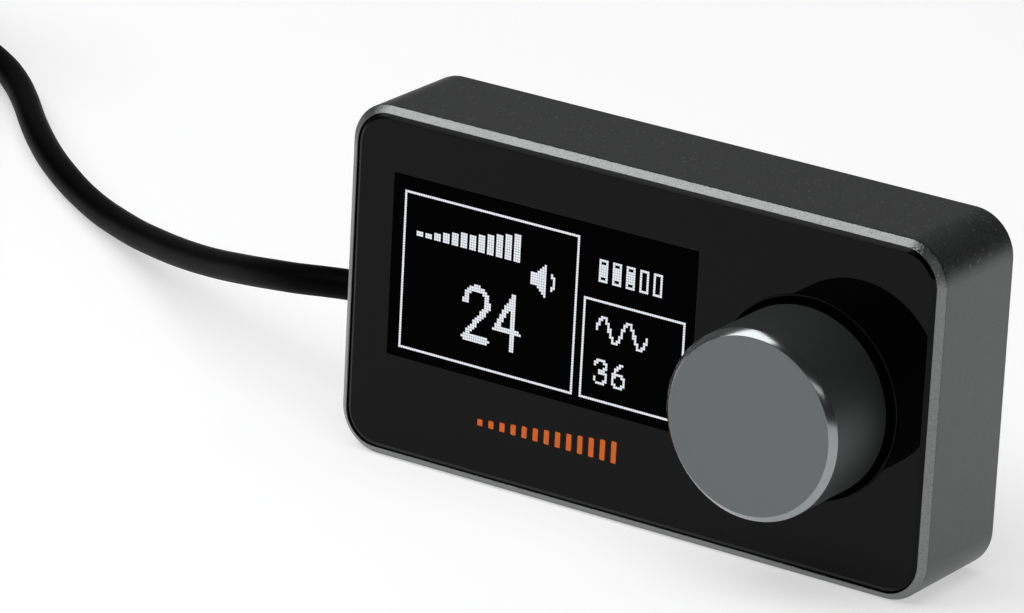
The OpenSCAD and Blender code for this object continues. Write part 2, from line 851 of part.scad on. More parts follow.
module shaft_clip() {
    color([0.6, 0.6, 0.62])
        difference() {
            knob_bar(clip_f, clip_f + clip_t, shaft_d + 2 * clip_rim);
            knob_bar(clip_f - cut, clip_f + clip_t + cut, shaft_d - 2 * groove);
            block(knob_x, knob_z - shaft_d / 2, shaft_d - 2 * clip_rim, shaft_d,
                clip_f - cut, clip_f + clip_t + cut);
        }
}

module switch_plunger() {
    color([0.9, 0.88, 0.8])
        knob_bar(plunger_f, plunger_f + plunger_t, plunger_d);
}

// A shallow metal dome: an arc of a ball's shell turned about the knob's axis
module switch_dome() {
    dome_t = 0.08;
    ball_r = (pow(dome_d / 2, 2) + pow(dome_h, 2)) / (2 * dome_h);
    color([0.8, 0.8, 0.82])
        translate([knob_x, y_at(dome_f) + ball_r, knob_z])
            rotate([90, 0, 0])
                rotate_extrude()
                    intersection() {
                        difference() {
                            circle(r = ball_r, $fn = 96);
                            circle(r = ball_r - dome_t, $fn = 96);
                        }
                        translate([0, ball_r - dome_h])
                            square([dome_d, 2 * dome_h]);
                    }
}

module switch_cover() {
    color([0.1, 0.12, 0.14])
        knob_bar(board_f - switch_cover_t, board_f, switch_d - slack);
}

module knob_hub() {
    color([0.05, 0.05, 0.05])
        difference() {
            knob_bar(hub_front_f, hub_back_f, cap_d - 2 * knob_wall - 2 * hub_press);
            knob_bar(hub_pocket_f, hub_back_f + cut, hub_pocket_d);
            d_bar(shaft_front_f - slack, hub_pocket_f + cut, shaft_d + 2 * hub_press, shaft_flat + hub_press);
        }
}

module knob_cap() {
    r = cap_d / 2;
    bore_r = r - knob_wall;
    color([0.42, 0.43, 0.43])
        translate([knob_x, y_at(knob_base_f), knob_z])
            rotate([90, 0, 0])
                rotate_extrude($fn = 96)
                    polygon([
                        [bore_r, 0], [r, 0], [r, knob_l - knob_edge], [r - knob_edge, knob_l],
                        [0, knob_l], [0, knob_l - knob_face_t], [bore_r, knob_l - knob_face_t]
                    ]);
}

module rear_cover() {
    color([0.2, 0.2, 0.21])
        difference() {
            body_plate(cover_rim + cover_gap, cover_f, body_d);
            for (x = screw_xs, z = screw_zs) {
                bar(x, z, cover_f - cut, body_d + cut, screw_d + 2 * slack);
                translate([x, y_at(body_d - head_h - slack), z])
                    rotate([-90, 0, 0])
                        cylinder(h = head_h + 2 * slack, d1 = screw_d, d2 = screw_d + 2 * head_h + 4 * slack);
            }
        }
}

module rear_screws() {
    recess = 0.05;
    cross_l = screw_head_d * 0.6;
    cross_w = screw_head_d * 0.14;
    color([0.15, 0.15, 0.16])
        for (x = screw_xs, z = screw_zs)
            difference() {
                union() {
                    bar(x, z, body_d - screw_l, body_d - recess - head_h / 2, screw_d);
                    translate([x, y_at(body_d - recess - head_h), z])
                        rotate([-90, 0, 0])
                            cylinder(h = head_h, d1 = screw_d, d2 = screw_head_d);
                }
                for (a = [0, 90])
                    translate([x, y_at(body_d), z])
                        rotate([0, a, 0])
                            cube([cross_l, head_h, cross_w], center = true);
            }
}

// Tube along a route: rings square to the route, joined by triangles, closed at both ends
function unit(v) = v / norm(v);
function heading(p, i) = unit(p[min(i + 1, len(p) - 1)] - p[max(i - 1, 0)]);
function tube_points(p, r, sides) = [
    for (i = [0 : len(p) - 1])
        let (t = heading(p, i), side = unit(cross(t, [0, 0, 1])), up = cross(side, t))
            for (k = [0 : sides - 1])
                p[i] + r * (cos(360 * k / sides) * side + sin(360 * k / sides) * up)
];
function tube_faces(rings, sides) = concat(
    [for (k = [1 : sides - 2]) [0, k, k + 1]],
    [for (i = [0 : rings - 2], k = [0 : sides - 1], half = [0, 1])
        let (a = i * sides + k, b = i * sides + (k + 1) % sides)
            half == 0 ? [a, a + sides, b] : [b, a + sides, b + sides]],
    [for (k = [1 : sides - 2])
        let (last = (rings - 1) * sides)
            [last, last + k + 1, last + k]]
);

module tube(p, d, sides) {
    polyhedron(points = tube_points(p, d / 2, sides), faces = tube_faces(len(p), sides), convexity = 20);
}

// Coil: the loops spiral in and out, and climb in the half turn where the spiral reverses
function clamp01(v) = max(0, min(1, v));
function coil_r(s) =
    let (leg = min(layers - 1, floor(s / leg_turns)), u = s - leg * leg_turns)
        leg % 2 == 0 ? coil_out_r - coil_pitch * u : coil_in_r + coil_pitch * u;
function coil_climb(s, k) = k == 0 ? 0 : clamp01((s - k * leg_turns + 0.25) / 0.5) + coil_climb(s, k - 1);
function coil_at(s) = [
    coil_x + coil_r(s) * cos(coil_angle + 360 * s),
    coil_y + coil_r(s) * sin(coil_angle + 360 * s),
    coil_low_z + coil_pitch * coil_climb(s, layers - 1)
];
coil_steps = round(coil_turns * rings_per_loop);
function coil_route() = concat(
    [coil_at(0) + [cable_d, 0, 0]],
    [for (i = [0 : coil_steps]) coil_at(i / rings_per_loop)],
    [coil_at(coil_turns) - [0, cable_d, 0]]
);
function least_gap(p, d) = min([
    for (i = [0 : len(p) - rings_per_loop])
        min([for (j = [i + rings_per_loop / 2 : len(p) - 1]) norm(p[i] - p[j])])
]) - d;

module cable() {
    color([0.05, 0.05, 0.05])
        tube(route, cable_d, 8);
}

module cable_coil() {
    p = coil_route();
    echo(least_gap_of_coil = least_gap(p, cable_d));
    color([0.05, 0.05, 0.05])
        tube(p, cable_d, 6);
}

module coil_tie() {
    in_r = coil_in_r - cable_d / 2 - tie_fit;
    out_r = coil_out_r + cable_d / 2 + tie_fit;
    top_z = coil_high_z + cable_d / 2 + seat_gap;
    tie_r = 2 * tie_t;
    head_w = 3;
    color([0.1, 0.1, 0.1])
        translate([coil_x, coil_y, 0])
            rotate([0, 0, tie_angle])
                translate([(in_r + out_r) / 2, tie_w / 2, 0])
                    rotate([90, 0, 0]) {
                        linear_extrude(height = tie_w)
                            difference() {
                                translate([0, (top_z + tie_t) / 2])
                                    rounded(out_r - in_r + 2 * tie_t, top_z + tie_t, tie_r);
                                translate([0, (top_z + tie_t) / 2])
                                    rounded(out_r - in_r, top_z - tie_t, tie_r - tie_t);
                            }
                        translate([-head_w / 2, top_z + tie_t - slack, 0])
                            cube([head_w, 2 * tie_t + slack, tie_w]);
                    }
}

module cable_end() {
    p = [for (s = end_steps) [plug_x, end_y - s[0], plug_z + s[1] * (coil_high_z - plug_z)]];
    color([0.05, 0.05, 0.05])
        tube(p, cable_d, 8);
}

// A piece turned about the plug's axis, from a profile of radius and distance along the plug
module plug_turned() {
    translate([plug_x, plug_y, plug_z])
        rotate([90, 0, 0])
            rotate_extrude()
                children();
}

module plug_grip() {
    neck_wall = 1;
    neck_grow = 0.5;
    neck_r = cable_d / 2 + neck_wall;
    grip_r = grip_d / 2;
    rib = 0.4;
    ribs = 4;
    color([0.07, 0.07, 0.07])
        difference() {
            plug_turned()
                polygon([
                    [0, 0], [neck_r, 0], [neck_r + neck_grow, grip_l * 0.3], [grip_r, grip_l * 0.42],
                    [grip_r, grip_l], [0, grip_l]
                ]);
            for (k = [1 : ribs])
                plug_turned()
                    translate([grip_r - rib, grip_l * (0.48 + 0.1 * k)])
                        square([2 * rib, 2 * rib]);
        }
}

module plug_shell() {
    color([0.75, 0.75, 0.76])
        plug_turned()
            translate([shell_d / 2 - shell_wall, grip_l])
                square([shell_wall, shell_l]);
}

module plug_insert() {
    key_w = 2;
    core_r = shell_d / 2 - shell_wall - bore_fit;
    color([0.08, 0.08, 0.08]) {
        plug_turned()
            translate([0, grip_l])
                square([core_r, insert_t]);
        translate([plug_x - key_w / 2, plug_y - grip_l - shell_l * 0.85, plug_z - core_r * 0.2])
            cube([key_w, shell_l * 0.85 - insert_t / 2, key_w / 2]);
    }
}

module plug_pins() {
    color([0.85, 0.7, 0.35])
        for (k = [0 : pin_count - 1])
            translate([
                plug_x + pin_circle_d / 2 * cos(360 * (k + 0.5) / pin_count),
                plug_y - grip_l - insert_t,
                plug_z + pin_circle_d / 2 * sin(360 * (k + 0.5) / pin_count)
            ])
                rotate([90, 0, 0])
                    cylinder(h = pin_l, d = pin_d);
}

housing();
front_panel();
panel_tape();
display_window();
display_gasket();
display_polariser();
display_glass();
display_pad();
display_tray();
display_flex();
flex_socket();
main_board();
board_screws();
processor();
regulator();
crystal();
capacitors();
resistors();
cable_header();
cable_socket();
cable_leads();
cable_lead_in();
strain_ring();
cable_gland();
encoder_frame();
encoder_bushing();
encoder_washer();
encoder_nut();
encoder_base();
encoder_terminals();
detent_spring();
encoder_rotor();
rotor_contact();
contact_plate();
encoder_shaft();
shaft_clip();
switch_plunger();
switch_dome();
switch_cover();
knob_hub();
knob_cap();
rear_cover();
rear_screws();
cable();
cable_coil();
coil_tie();
cable_end();
plug_grip();
plug_shell();
plug_insert();
plug_pins();
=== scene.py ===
# %% [markdown]
# A bass remote control
# This lesson dresses a finished CAD model: a small blasted-metal box with a gloss black front, a dot
# display, a turned metal knob and a thin black cable. The CAD solids fix every size and place. Blender adds
# the rounded edges, the finishes, the lit dots and the light. Each step says what the real piece is, how it
# could be made and why it is made this way. Sizes of the object are in millimetres, and MM turns them into
# Blender's metres.

# %% Load the frame
import math

import bmesh
import bpy
from mathutils import Matrix, Vector


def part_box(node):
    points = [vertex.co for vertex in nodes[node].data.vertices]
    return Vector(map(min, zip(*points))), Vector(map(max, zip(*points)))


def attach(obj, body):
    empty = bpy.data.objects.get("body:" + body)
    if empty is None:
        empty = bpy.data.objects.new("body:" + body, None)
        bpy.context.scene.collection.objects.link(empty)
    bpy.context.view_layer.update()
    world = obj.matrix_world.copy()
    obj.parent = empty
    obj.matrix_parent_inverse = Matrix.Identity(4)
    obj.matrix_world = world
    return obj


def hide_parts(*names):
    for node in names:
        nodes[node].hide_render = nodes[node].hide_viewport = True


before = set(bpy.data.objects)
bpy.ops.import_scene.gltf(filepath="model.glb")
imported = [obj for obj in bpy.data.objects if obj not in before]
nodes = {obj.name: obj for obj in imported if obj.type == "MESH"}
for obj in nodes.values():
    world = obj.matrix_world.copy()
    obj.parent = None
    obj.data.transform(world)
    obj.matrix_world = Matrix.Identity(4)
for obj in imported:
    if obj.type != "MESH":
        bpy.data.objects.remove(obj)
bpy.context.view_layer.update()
MM = 0.001
HOME = "housing"

# %% [markdown]
# The camera
# The photograph was taken with a long lens from the front right, a little above. A pinhole camera was fitted
# to edges of the box, which gave the place, the three angles and the lens below. A camera could also be
# aimed with a Track To constraint, but its roll would then be lost, so the axes are built directly.

# %% Camera
IMAGE_W = 1024
FOCAL_PX = 7269.5
SENSOR_MM = 36
CAM_PLACE = Vector((365.6, -592.7, 267.9)) * MM
CAM_AZIMUTH = math.radians(32.987)
CAM_ELEVATION = math.radians(19.523)
CAM_ROLL = math.radians(2.941)
CLIP_NEAR, CLIP_FAR = 0.01, 100

backward = Vector((
    math.sin(CAM_AZIMUTH) * math.cos(CAM_ELEVATION),
    -math.cos(CAM_AZIMUTH) * math.cos(CAM_ELEVATION),
    math.sin(CAM_ELEVATION),
))
level_right = Vector((math.cos(CAM_AZIMUTH), math.sin(CAM_AZIMUTH), 0))
level_up = backward.cross(level_right)
right = level_right * math.cos(CAM_ROLL) + level_up * math.sin(CAM_ROLL)
up = level_up * math.cos(CAM_ROLL) - level_right * math.sin(CAM_ROLL)

bpy.ops.object.select_all(action="DESELECT")
bpy.ops.object.camera_add(location=CAM_PLACE)
camera = bpy.context.object
turned = Matrix((right, up, backward)).transposed().to_4x4()
camera.matrix_world = Matrix.Translation(CAM_PLACE) @ turned
camera.data.sensor_width = SENSOR_MM
camera.data.lens = FOCAL_PX * SENSOR_MM / IMAGE_W
camera.data.clip_start = CLIP_NEAR
camera.data.clip_end = CLIP_FAR
bpy.context.scene.camera = camera
print("camera lens:", round(camera.data.lens, 1), "mm")

# %% [markdown]
# The cable
# A real cable is one fixed length. Here a short stretch leaves the grommet, drops to the surface and runs
# back out of view, and the rest is wound into a flat coil of four layers. A curve with a round bevel suits a
# cord better than a swept mesh: its line is its own centreline, so its length can be measured. The free
# stretch is a list of given points, smoothed by a spline, and the coil is a formula.

# %% Sizes of the cable
CABLE_D = 3.3
FREE_ROUTE = [
    (-37, 2.15, 14), (-40.5, 2.15, 14), (-44, 2.2, 13.6), (-48, 2.7, 12.9), (-52, 4.1, 12),
    (-56, 6.1, 10.9), (-60, 8.5, 9.7), (-64, 11, 8.5), (-68, 13.5, 7.4), (-72, 16.1, 6.35),
    (-76, 18.7, 5.4), (-80, 21.4, 4.5), (-85, 24.7, 3.5), (-90, 28.1, 2.7), (-95.5, 31.7, 2.1),
    (-101.5, 35.9, 1.75), (-106.5, 39.6, 1.7), (-111.5, 43.6, 1.7), (-116.5, 48.1, 1.7),
    (-121.5, 53, 1.7), (-126.5, 58.2, 1.7), (-131.5, 63, 1.7), (-137, 67.4, 1.75), (-143, 70.8, 1.85),
    (-149.5, 73, 2.1), (-156, 74.1, 2.45), (-160.2, 74.24, 2.65), (-162.2, 74.24, 2.65),
]
COIL_X, COIL_Y = -165.5, 44
COIL_MID_D = 38.4
COIL_TURNS = 23.25
COIL_LAYERS = 4
COIL_PITCH = 3.8
COIL_LOW_Z = 2.65
COIL_START = 90
CLIMB_TURNS = 0.5
LEG_TURNS = COIL_TURNS / COIL_LAYERS
COIL_OUT_R = COIL_MID_D / 2 + COIL_PITCH * LEG_TURNS / 2
COIL_IN_R = COIL_MID_D / 2 - COIL_PITCH * LEG_TURNS / 2
COIL_HIGH_Z = COIL_LOW_Z + (COIL_LAYERS - 1) * COIL_PITCH
# How far the end has run, and what share of the coil's height is left there
END_STEPS = [(0, 1), (4, 1), (10, 0.9), (16, 0.68), (22, 0.38), (28, 0.12), (34, 0), (38, 0)]
END_L = END_STEPS[-1][0]
PLUG_X = COIL_X - COIL_OUT_R
PLUG_Y = COIL_Y - CABLE_D - END_L
PLUG_Z = 4.7
FREE_POINTS, TURN_POINTS, END_POINTS = 4, 40, 3
print("coil from", round(COIL_IN_R, 2), "to", round(COIL_OUT_R, 2), "mm from its middle")


# %% Cable route
def smooth_line(points, steps):
    """A Catmull-Rom line through the points, with that many steps to each of them."""
    line = []
    for i in range(len(points) - 1):
        a, b = Vector(points[i]), Vector(points[i + 1])
        before = Vector(points[i - 1]) if i > 0 else 2 * a - b
        after = Vector(points[i + 2]) if i + 2 < len(points) else 2 * b - a
        for k in range(steps):
            t = k / steps
            line.append(0.5 * (
                2 * a + (b - before) * t + (2 * before - 5 * a + 4 * b - after) * t ** 2
                + (3 * a - before - 3 * b + after) * t ** 3
            ))
    return line + [Vector(points[-1])]


def climbed(turns, layer):
    """The share of the way up to a layer that the cable has climbed."""
    return min(1, max(0, (turns - layer * LEG_TURNS + CLIMB_TURNS / 2) / CLIMB_TURNS))


def coil_point(turns):
    """The cable's centre after that many turns: in, out, in and out, one layer up at each reversal."""
    leg = min(COIL_LAYERS - 1, int(turns / LEG_TURNS))
    spun = turns - leg * LEG_TURNS
    radius = COIL_OUT_R - COIL_PITCH * spun if leg % 2 == 0 else COIL_IN_R + COIL_PITCH * spun
    layers = sum(climbed(turns, layer) for layer in range(1, COIL_LAYERS))
    angle = math.radians(COIL_START + 360 * turns)
    return Vector((
        COIL_X + radius * math.cos(angle),
        COIL_Y + radius * math.sin(angle),
        COIL_LOW_Z + COIL_PITCH * layers,
    ))


free_line = smooth_line(FREE_ROUTE, FREE_POINTS)
coil_steps = round(COIL_TURNS * TURN_POINTS)
coil_line = [coil_point(i / TURN_POINTS) for i in range(coil_steps + 1)]
end_route = [
    (PLUG_X, PLUG_Y + END_L - run, PLUG_Z + left * (COIL_HIGH_Z - PLUG_Z)) for run, left in END_STEPS
]
end_line = smooth_line(end_route, END_POINTS)
cable_line = [p * MM for p in free_line + coil_line + end_line]

# %% Cable curve
# Each point carries the cable's radius, and the bevel multiplies it by one, so the curve's box is right too
cable_data = bpy.data.curves.new("cable_run", "CURVE")
cable_data.dimensions = "3D"
cable_data.bevel_depth = 1
cable_data.bevel_resolution = 5
cable_data.use_fill_caps = True
spline = cable_data.splines.new("POLY")
spline.points.add(len(cable_line) - 1)
for point, place in zip(spline.points, cable_line):
    point.co = (*place, 1)
    point.radius = CABLE_D * MM / 2
spline.use_smooth = True
cable_run = bpy.data.objects.new("cable_run", cable_data)
bpy.context.scene.collection.objects.link(cable_run)
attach(cable_run, HOME)
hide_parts("cable", "cable_coil", "cable_end")
print("cable_run points:", len(spline.points))

# %% [markdown]
# Tools for modelling by hand
# Most outer pieces are plates or turned shapes. A plate starts as a plane whose corners are bevelled round,
# and is then extruded and inset, as on paper: outline first, depth after. A turned shape starts as a filled
# circle. The helpers below only wrap those operators, so that each piece reads as a list of moves. They
# take millimetres.

# %% Outlines to start from
ARC_STEPS = 16
ROUND_STEPS = 128
SMALL_ROUND_STEPS = 64
HOLE_STEPS = 48
FACE_FRONT = (math.pi / 2, 0, 0)
FACE_LEFT = (0, -math.pi / 2, 0)


def named(name):
    """Names the new object and its mesh, and puts its place into the mesh."""
    obj = bpy.context.object
    obj.name = name
    obj.data.name = name
    bpy.ops.object.transform_apply(location=True, rotation=True, scale=True)
    return obj


def rounded_plane(name, centre, size, radius):
    """A plane with round corners that faces -Y, left in edit mode with its face selected."""
    bpy.ops.object.select_all(action="DESELECT")
    bpy.ops.mesh.primitive_plane_add(size=1, location=Vector(centre) * MM, rotation=FACE_FRONT)
    bpy.context.object.scale = (size[0] * MM, size[1] * MM, 1)
    obj = named(name)
    bpy.ops.object.mode_set(mode="EDIT")
    bpy.ops.mesh.select_all(action="SELECT")
    bpy.ops.mesh.bevel(affect="VERTICES", offset=radius * MM, segments=ARC_STEPS)
    bpy.ops.mesh.select_all(action="SELECT")
    return obj


def disc(name, centre, radius, turn=FACE_FRONT, steps=ROUND_STEPS):
    """A filled circle that faces -Y or -X, left in edit mode with its face selected."""
    bpy.ops.object.select_all(action="DESELECT")
    bpy.ops.mesh.primitive_circle_add(
        vertices=steps, radius=radius * MM, fill_type="NGON", location=Vector(centre) * MM, rotation=turn)
    obj = named(name)
    bpy.ops.object.mode_set(mode="EDIT")
    bpy.ops.mesh.select_all(action="SELECT")
    return obj


# %% Moves in edit mode
NEAR = 0.01


def push(x=0, y=0, z=0):
    """Extrudes the selected faces by a distance."""
    bpy.ops.mesh.extrude_region_move(TRANSFORM_OT_translate={"value": (x * MM, y * MM, z * MM)})


def step_in(width, rise=0):
    """Insets the selected face by a width, and lifts it along its normal."""
    bpy.ops.mesh.inset(thickness=width * MM, depth=rise * MM, use_even_offset=True)


def open_face():
    """Takes the selected face away and leaves its edges."""
    bpy.ops.mesh.delete(type="ONLY_FACE")


def pick_end(obj, place, axis=1):
    """Selects the outline's own face, with more than four corners, at a piece's far end along an axis."""
    bpy.ops.mesh.select_mode(type="FACE")
    bpy.ops.mesh.select_all(action="DESELECT")
    mesh = bmesh.from_edit_mesh(obj.data)
    for face in mesh.faces:
        far = face.calc_center_median()[axis] > (place - NEAR) * MM
        face.select_set(far and len(face.verts) > 4)
    bmesh.update_edit_mesh(obj.data)


def close_up(gap=0):
    """Merges points that are closer than a gap, turns all faces outwards and leaves edit mode."""
    bpy.ops.mesh.select_all(action="SELECT")
    if gap:
        bpy.ops.mesh.remove_doubles(threshold=gap * MM)
    bpy.ops.mesh.normals_make_consistent(inside=False)
    bpy.ops.object.mode_set(mode="OBJECT")


# %% Finishing a piece
MERGE_GAP = 0.002


def only(obj):
    """Makes one object the selected and active one."""
    bpy.ops.object.select_all(action="DESELECT")
    obj.select_set(True)
    bpy.context.view_layer.objects.active = obj


def apply(obj, kind, **settings):
    """Adds a modifier with its settings and applies it."""
    only(obj)
    modifier = obj.modifiers.new(kind.title(), kind)
    for key, value in settings.items():
        setattr(modifier, key, value)
    bpy.ops.object.modifier_apply(modifier=modifier.name)


def cut(obj, cutter):
    """Cuts a closed shape out of a piece and removes the cutter."""
    apply(obj, "BOOLEAN", object=cutter, operation="DIFFERENCE", solver="EXACT")
    bpy.data.objects.remove(cutter)


def soften(obj, width, steps=2, angle=30):
    """Leaves edit mode, rounds the sharp edges and smooths the shading."""
    if bpy.context.mode == "EDIT_MESH":
        close_up(MERGE_GAP)
    limit = math.radians(angle)
    apply(obj, "BEVEL", width=width * MM, segments=steps, limit_method="ANGLE", angle_limit=limit)
    only(obj)
    bpy.ops.object.shade_smooth_by_angle(angle=limit)
    apply(obj, "WEIGHTED_NORMAL", keep_sharp=True)


def settle(obj, body, slot, *replaced):
    """Lets a piece ride on its body and stand for its CAD nodes. The slot is not used."""
    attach(obj, body)
    if replaced:
        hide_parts(*replaced)
    print(obj.name, "faces:", len(obj.data.polygons))


# %% [markdown]
# The housing
# The box is one aluminium frame: a rounded tube with a bevelled front rim, a ledge for the panel and a
# recess for the rear cover. It could be cut from a block with booleans, but extruding and insetting one
# outline keeps every wall parallel and the faces clean. Inner and outer skins meet at the rear recess, where
# two equal loops are merged. Only the cable's hole is cut, since it crosses the outline.

# %% Housing
CORNER_R = 4.6
WALL = 2
RIM_W, RIM_D = 0.85, 0.65
PANEL_DEPTH = 2.15
COVER_RIM, COVER_T = 1, 1.5
low, high = (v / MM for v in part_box("housing"))
BODY_SIZE = high - low
BODY_MID = (low + high) / 2
FRONT_Y = low.y

housing_shell = rounded_plane(
    "housing_shell", (BODY_MID.x, high.y, BODY_MID.z), (BODY_SIZE.x, BODY_SIZE.z), CORNER_R)
push(y=-(BODY_SIZE.y - RIM_D))
step_in(RIM_W, RIM_D)
push(y=PANEL_DEPTH)
step_in(WALL - RIM_W)
push(y=BODY_SIZE.y - COVER_T - PANEL_DEPTH)
open_face()
pick_end(housing_shell, high.y)
step_in(COVER_RIM)
push(y=-COVER_T)
step_in(WALL - COVER_RIM)
open_face()
close_up(NEAR)
print("housing points:", len(housing_shell.data.vertices))

# %% Cable hole
GLAND_HOLE_D = 5
HOUSING_ROUND, HOUSING_ROUND_STEPS = 0.14, 4
EXIT = Vector(FREE_ROUTE[0])
hole = disc("gland_hole", (low.x - WALL, EXIT.y, EXIT.z), GLAND_HOLE_D / 2, FACE_LEFT, HOLE_STEPS)
push(x=3 * WALL)
close_up()
cut(housing_shell, hole)
soften(housing_shell, HOUSING_ROUND, HOUSING_ROUND_STEPS)
settle(housing_shell, HOME, "housing_metal", "housing")

# %% [markdown]
# The front panel
# The panel is a polished black plate that lies flush in the rim, with a bevelled edge, an opening for the
# display and a round well under the knob. Its solid keeps room to be fitted, while the real plate all but
# closes that gap with its glue, so the plate is drawn a little larger. The bevel is an inset of the front
# outline; the openings are cut with booleans, because they have nothing to do with the outline. The well's
# mouth is rounded, and its cut edge is matt and a lighter grey than the plate: partly the edge's own colour,
# partly a painted highlight, it shows as a thin grey line. The well itself is matt black, and so it looks
# like a dark ring.

# %% Front panel
PANEL_EDGE_W, PANEL_EDGE_D = 0.55, 0.25
PANEL_FIT = 0.195
WINDOW_GAP = 0.05
CUT_OVER = 1
p_low, p_high = (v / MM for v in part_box("front_panel"))
w_low, w_high = (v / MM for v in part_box("display_window"))


def box_cutter(name, a, b):
    """A closed box between two corners, to cut with."""
    bpy.ops.object.select_all(action="DESELECT")
    bpy.ops.mesh.primitive_cube_add(size=1, location=(a + b) / 2 * MM)
    bpy.context.object.scale = (b - a) * MM
    return named(name)


front_panel = rounded_plane(
    "panel_plate", ((p_low.x + p_high.x) / 2, p_high.y, (p_low.z + p_high.z) / 2),
    (p_high.x - p_low.x + 2 * PANEL_FIT, p_high.z - p_low.z + 2 * PANEL_FIT),
    CORNER_R - (p_low.x - low.x) + PANEL_FIT)
push(y=-(p_high.y - p_low.y - PANEL_EDGE_D))
step_in(PANEL_EDGE_W, PANEL_EDGE_D)
bpy.ops.object.mode_set(mode="OBJECT")
around = Vector((WINDOW_GAP, CUT_OVER, WINDOW_GAP))
cut(front_panel, box_cutter("window_opening", w_low - around, w_high + around))
print("panel thickness:", round(p_high.y - p_low.y, 2), "mm")

# %% Well under the knob
WELL_GAP, WELL_FLOOR = 0.45, 0.8
WELL_EDGE_R, WELL_EDGE_STEPS = 0.45, 8
WELL_NEAR = 0.05
BUSHING_HOLE_D = 7.2
PANEL_ROUND, PANEL_ROUND_ANGLE = 0.04, 20
k_low, k_high = (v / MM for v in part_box("knob_cap"))
KNOB_X, KNOB_Z = (k_low.x + k_high.x) / 2, (k_low.z + k_high.z) / 2
KNOB_R = (k_high.x - k_low.x) / 2
WELL_R = KNOB_R + WELL_GAP
WELL_MOUTH = Vector((KNOB_X, p_low.y, KNOB_Z))
for radius, back_y in ((WELL_R, p_high.y - WELL_FLOOR), (BUSHING_HOLE_D / 2, p_high.y + CUT_OVER)):
    hole = disc("round_hole", (KNOB_X, back_y, KNOB_Z), radius)
    push(y=p_low.y - CUT_OVER - back_y)
    close_up()
    cut(front_panel, hole)


def on_well_edge(edge):
    """True for an edge on the mouth of the well."""
    out = [v.co / MM - WELL_MOUTH for v in edge.verts]
    return all(abs(v.y) < NEAR and abs(math.hypot(v.x, v.z) - WELL_R) < WELL_NEAR for v in out)


only(front_panel)
bpy.ops.object.mode_set(mode="EDIT")
bpy.ops.mesh.select_mode(type="EDGE")
bpy.ops.mesh.select_all(action="DESELECT")
panel_mesh = bmesh.from_edit_mesh(front_panel.data)
for edge in panel_mesh.edges:
    edge.select_set(on_well_edge(edge))
bmesh.update_edit_mesh(front_panel.data)
print("edges on the well's mouth:", sum(edge.select for edge in panel_mesh.edges))
bpy.ops.mesh.bevel(affect="EDGES", offset=WELL_EDGE_R * MM, segments=WELL_EDGE_STEPS)
soften(front_panel, PANEL_ROUND, angle=PANEL_ROUND_ANGLE)
settle(front_panel, HOME, "panel_gloss", "front_panel")

# %% [markdown]
# The display
# The window is a flush black pane. Behind it the real display lights single dots, 128 across and 64 down. An
# image would be the usual way to draw them, but here each lit dot is a small raised tile, so the picture is
# geometry and stays sharp. Shapes are drawn on the grid with a few strokes: frames, a level ramp, a speaker
# sign, a wave and plain numbers.

# %% Display pane
PANE_CORNER, PANE_ROUND = 0.05, 0.02
display_pane = rounded_plane(
    "display_pane", ((w_low.x + w_high.x) / 2, w_high.y, (w_low.z + w_high.z) / 2),
    (w_high.x - w_low.x, w_high.z - w_low.z), PANE_CORNER)
push(y=-(w_high.y - w_low.y))
soften(display_pane, PANE_ROUND)
settle(display_pane, HOME, "window", "display_window")

# %% Ways to light dots
TINY = 1e-9
lit = set()


def light_block(c0, r0, c1, r1):
    """Lights every dot from one corner to the other."""
    lit.update((c, r) for c in range(c0, c1 + 1) for r in range(r0, r1 + 1))


def light_frame(c0, r0, c1, r1):
    """Lights the outline of a box."""
    light_block(c0, r0, c1, r0)
    light_block(c0, r1, c1, r1)
    light_block(c0, r0, c0, r1)
    light_block(c1, r0, c1, r1)


def light_stroke(points, thick):
    """Lights the dots within half a stroke's thickness of a line."""
    reach = thick / 2
    for a, b in zip(points, points[1:]):
        a, b = Vector(a), Vector(b)
        for c in range(int(min(a.x, b.x) - reach) - 1, int(max(a.x, b.x) + reach) + 2):
            for r in range(int(min(a.y, b.y) - reach) - 1, int(max(a.y, b.y) + reach) + 2):
                p = Vector((c, r))
                t = max(0, min(1, (p - a).dot(b - a) / max((b - a).length_squared, TINY)))
                if (p - a - (b - a) * t).length <= reach:
                    lit.add((c, r))


# %% Numbers in dots
ARC_POINTS = 20


def arc(x, y, rx, ry, start, end):
    """Points along an ellipse; angles run clockwise from the right, in degrees."""
    angles = [math.radians(start + (end - start) * k / ARC_POINTS) for k in range(ARC_POINTS + 1)]
    return [(x + rx * math.cos(a), y + ry * math.sin(a)) for a in angles]


# Each number is a few lines in a box one wide and one high
NUMBERS = {
    "2": [arc(0.5, 0.28, 0.5, 0.28, 180, 375) + [(0, 1), (1, 1)]],
    "3": [arc(0.45, 0.25, 0.5, 0.25, 200, 450), arc(0.45, 0.74, 0.55, 0.26, 270, 520)],
    "4": [[(0.75, 1), (0.75, 0), (0, 0.68), (1, 0.68)]],
    "6": [arc(0.5, 0.7, 0.5, 0.3, 0, 360), arc(1, 0.7, 1, 0.7, 180, 262)],
}


def light_number(text, column, row, width, height, gap, thick):
    """Writes a number with its top left dot at a column and row."""
    for k, digit in enumerate(text):
        left = column + k * (width + gap)
        for line in NUMBERS[digit]:
            light_stroke([(left + x * (width - 1), row + y * (height - 1)) for x, y in line], thick)


light_number("24", column=29, row=31, width=11, height=21, gap=3, thick=2.3)
light_number("36", column=88, row=46, width=6, height=10, gap=2, thick=1.3)
print("dots in the numbers:", len(lit))

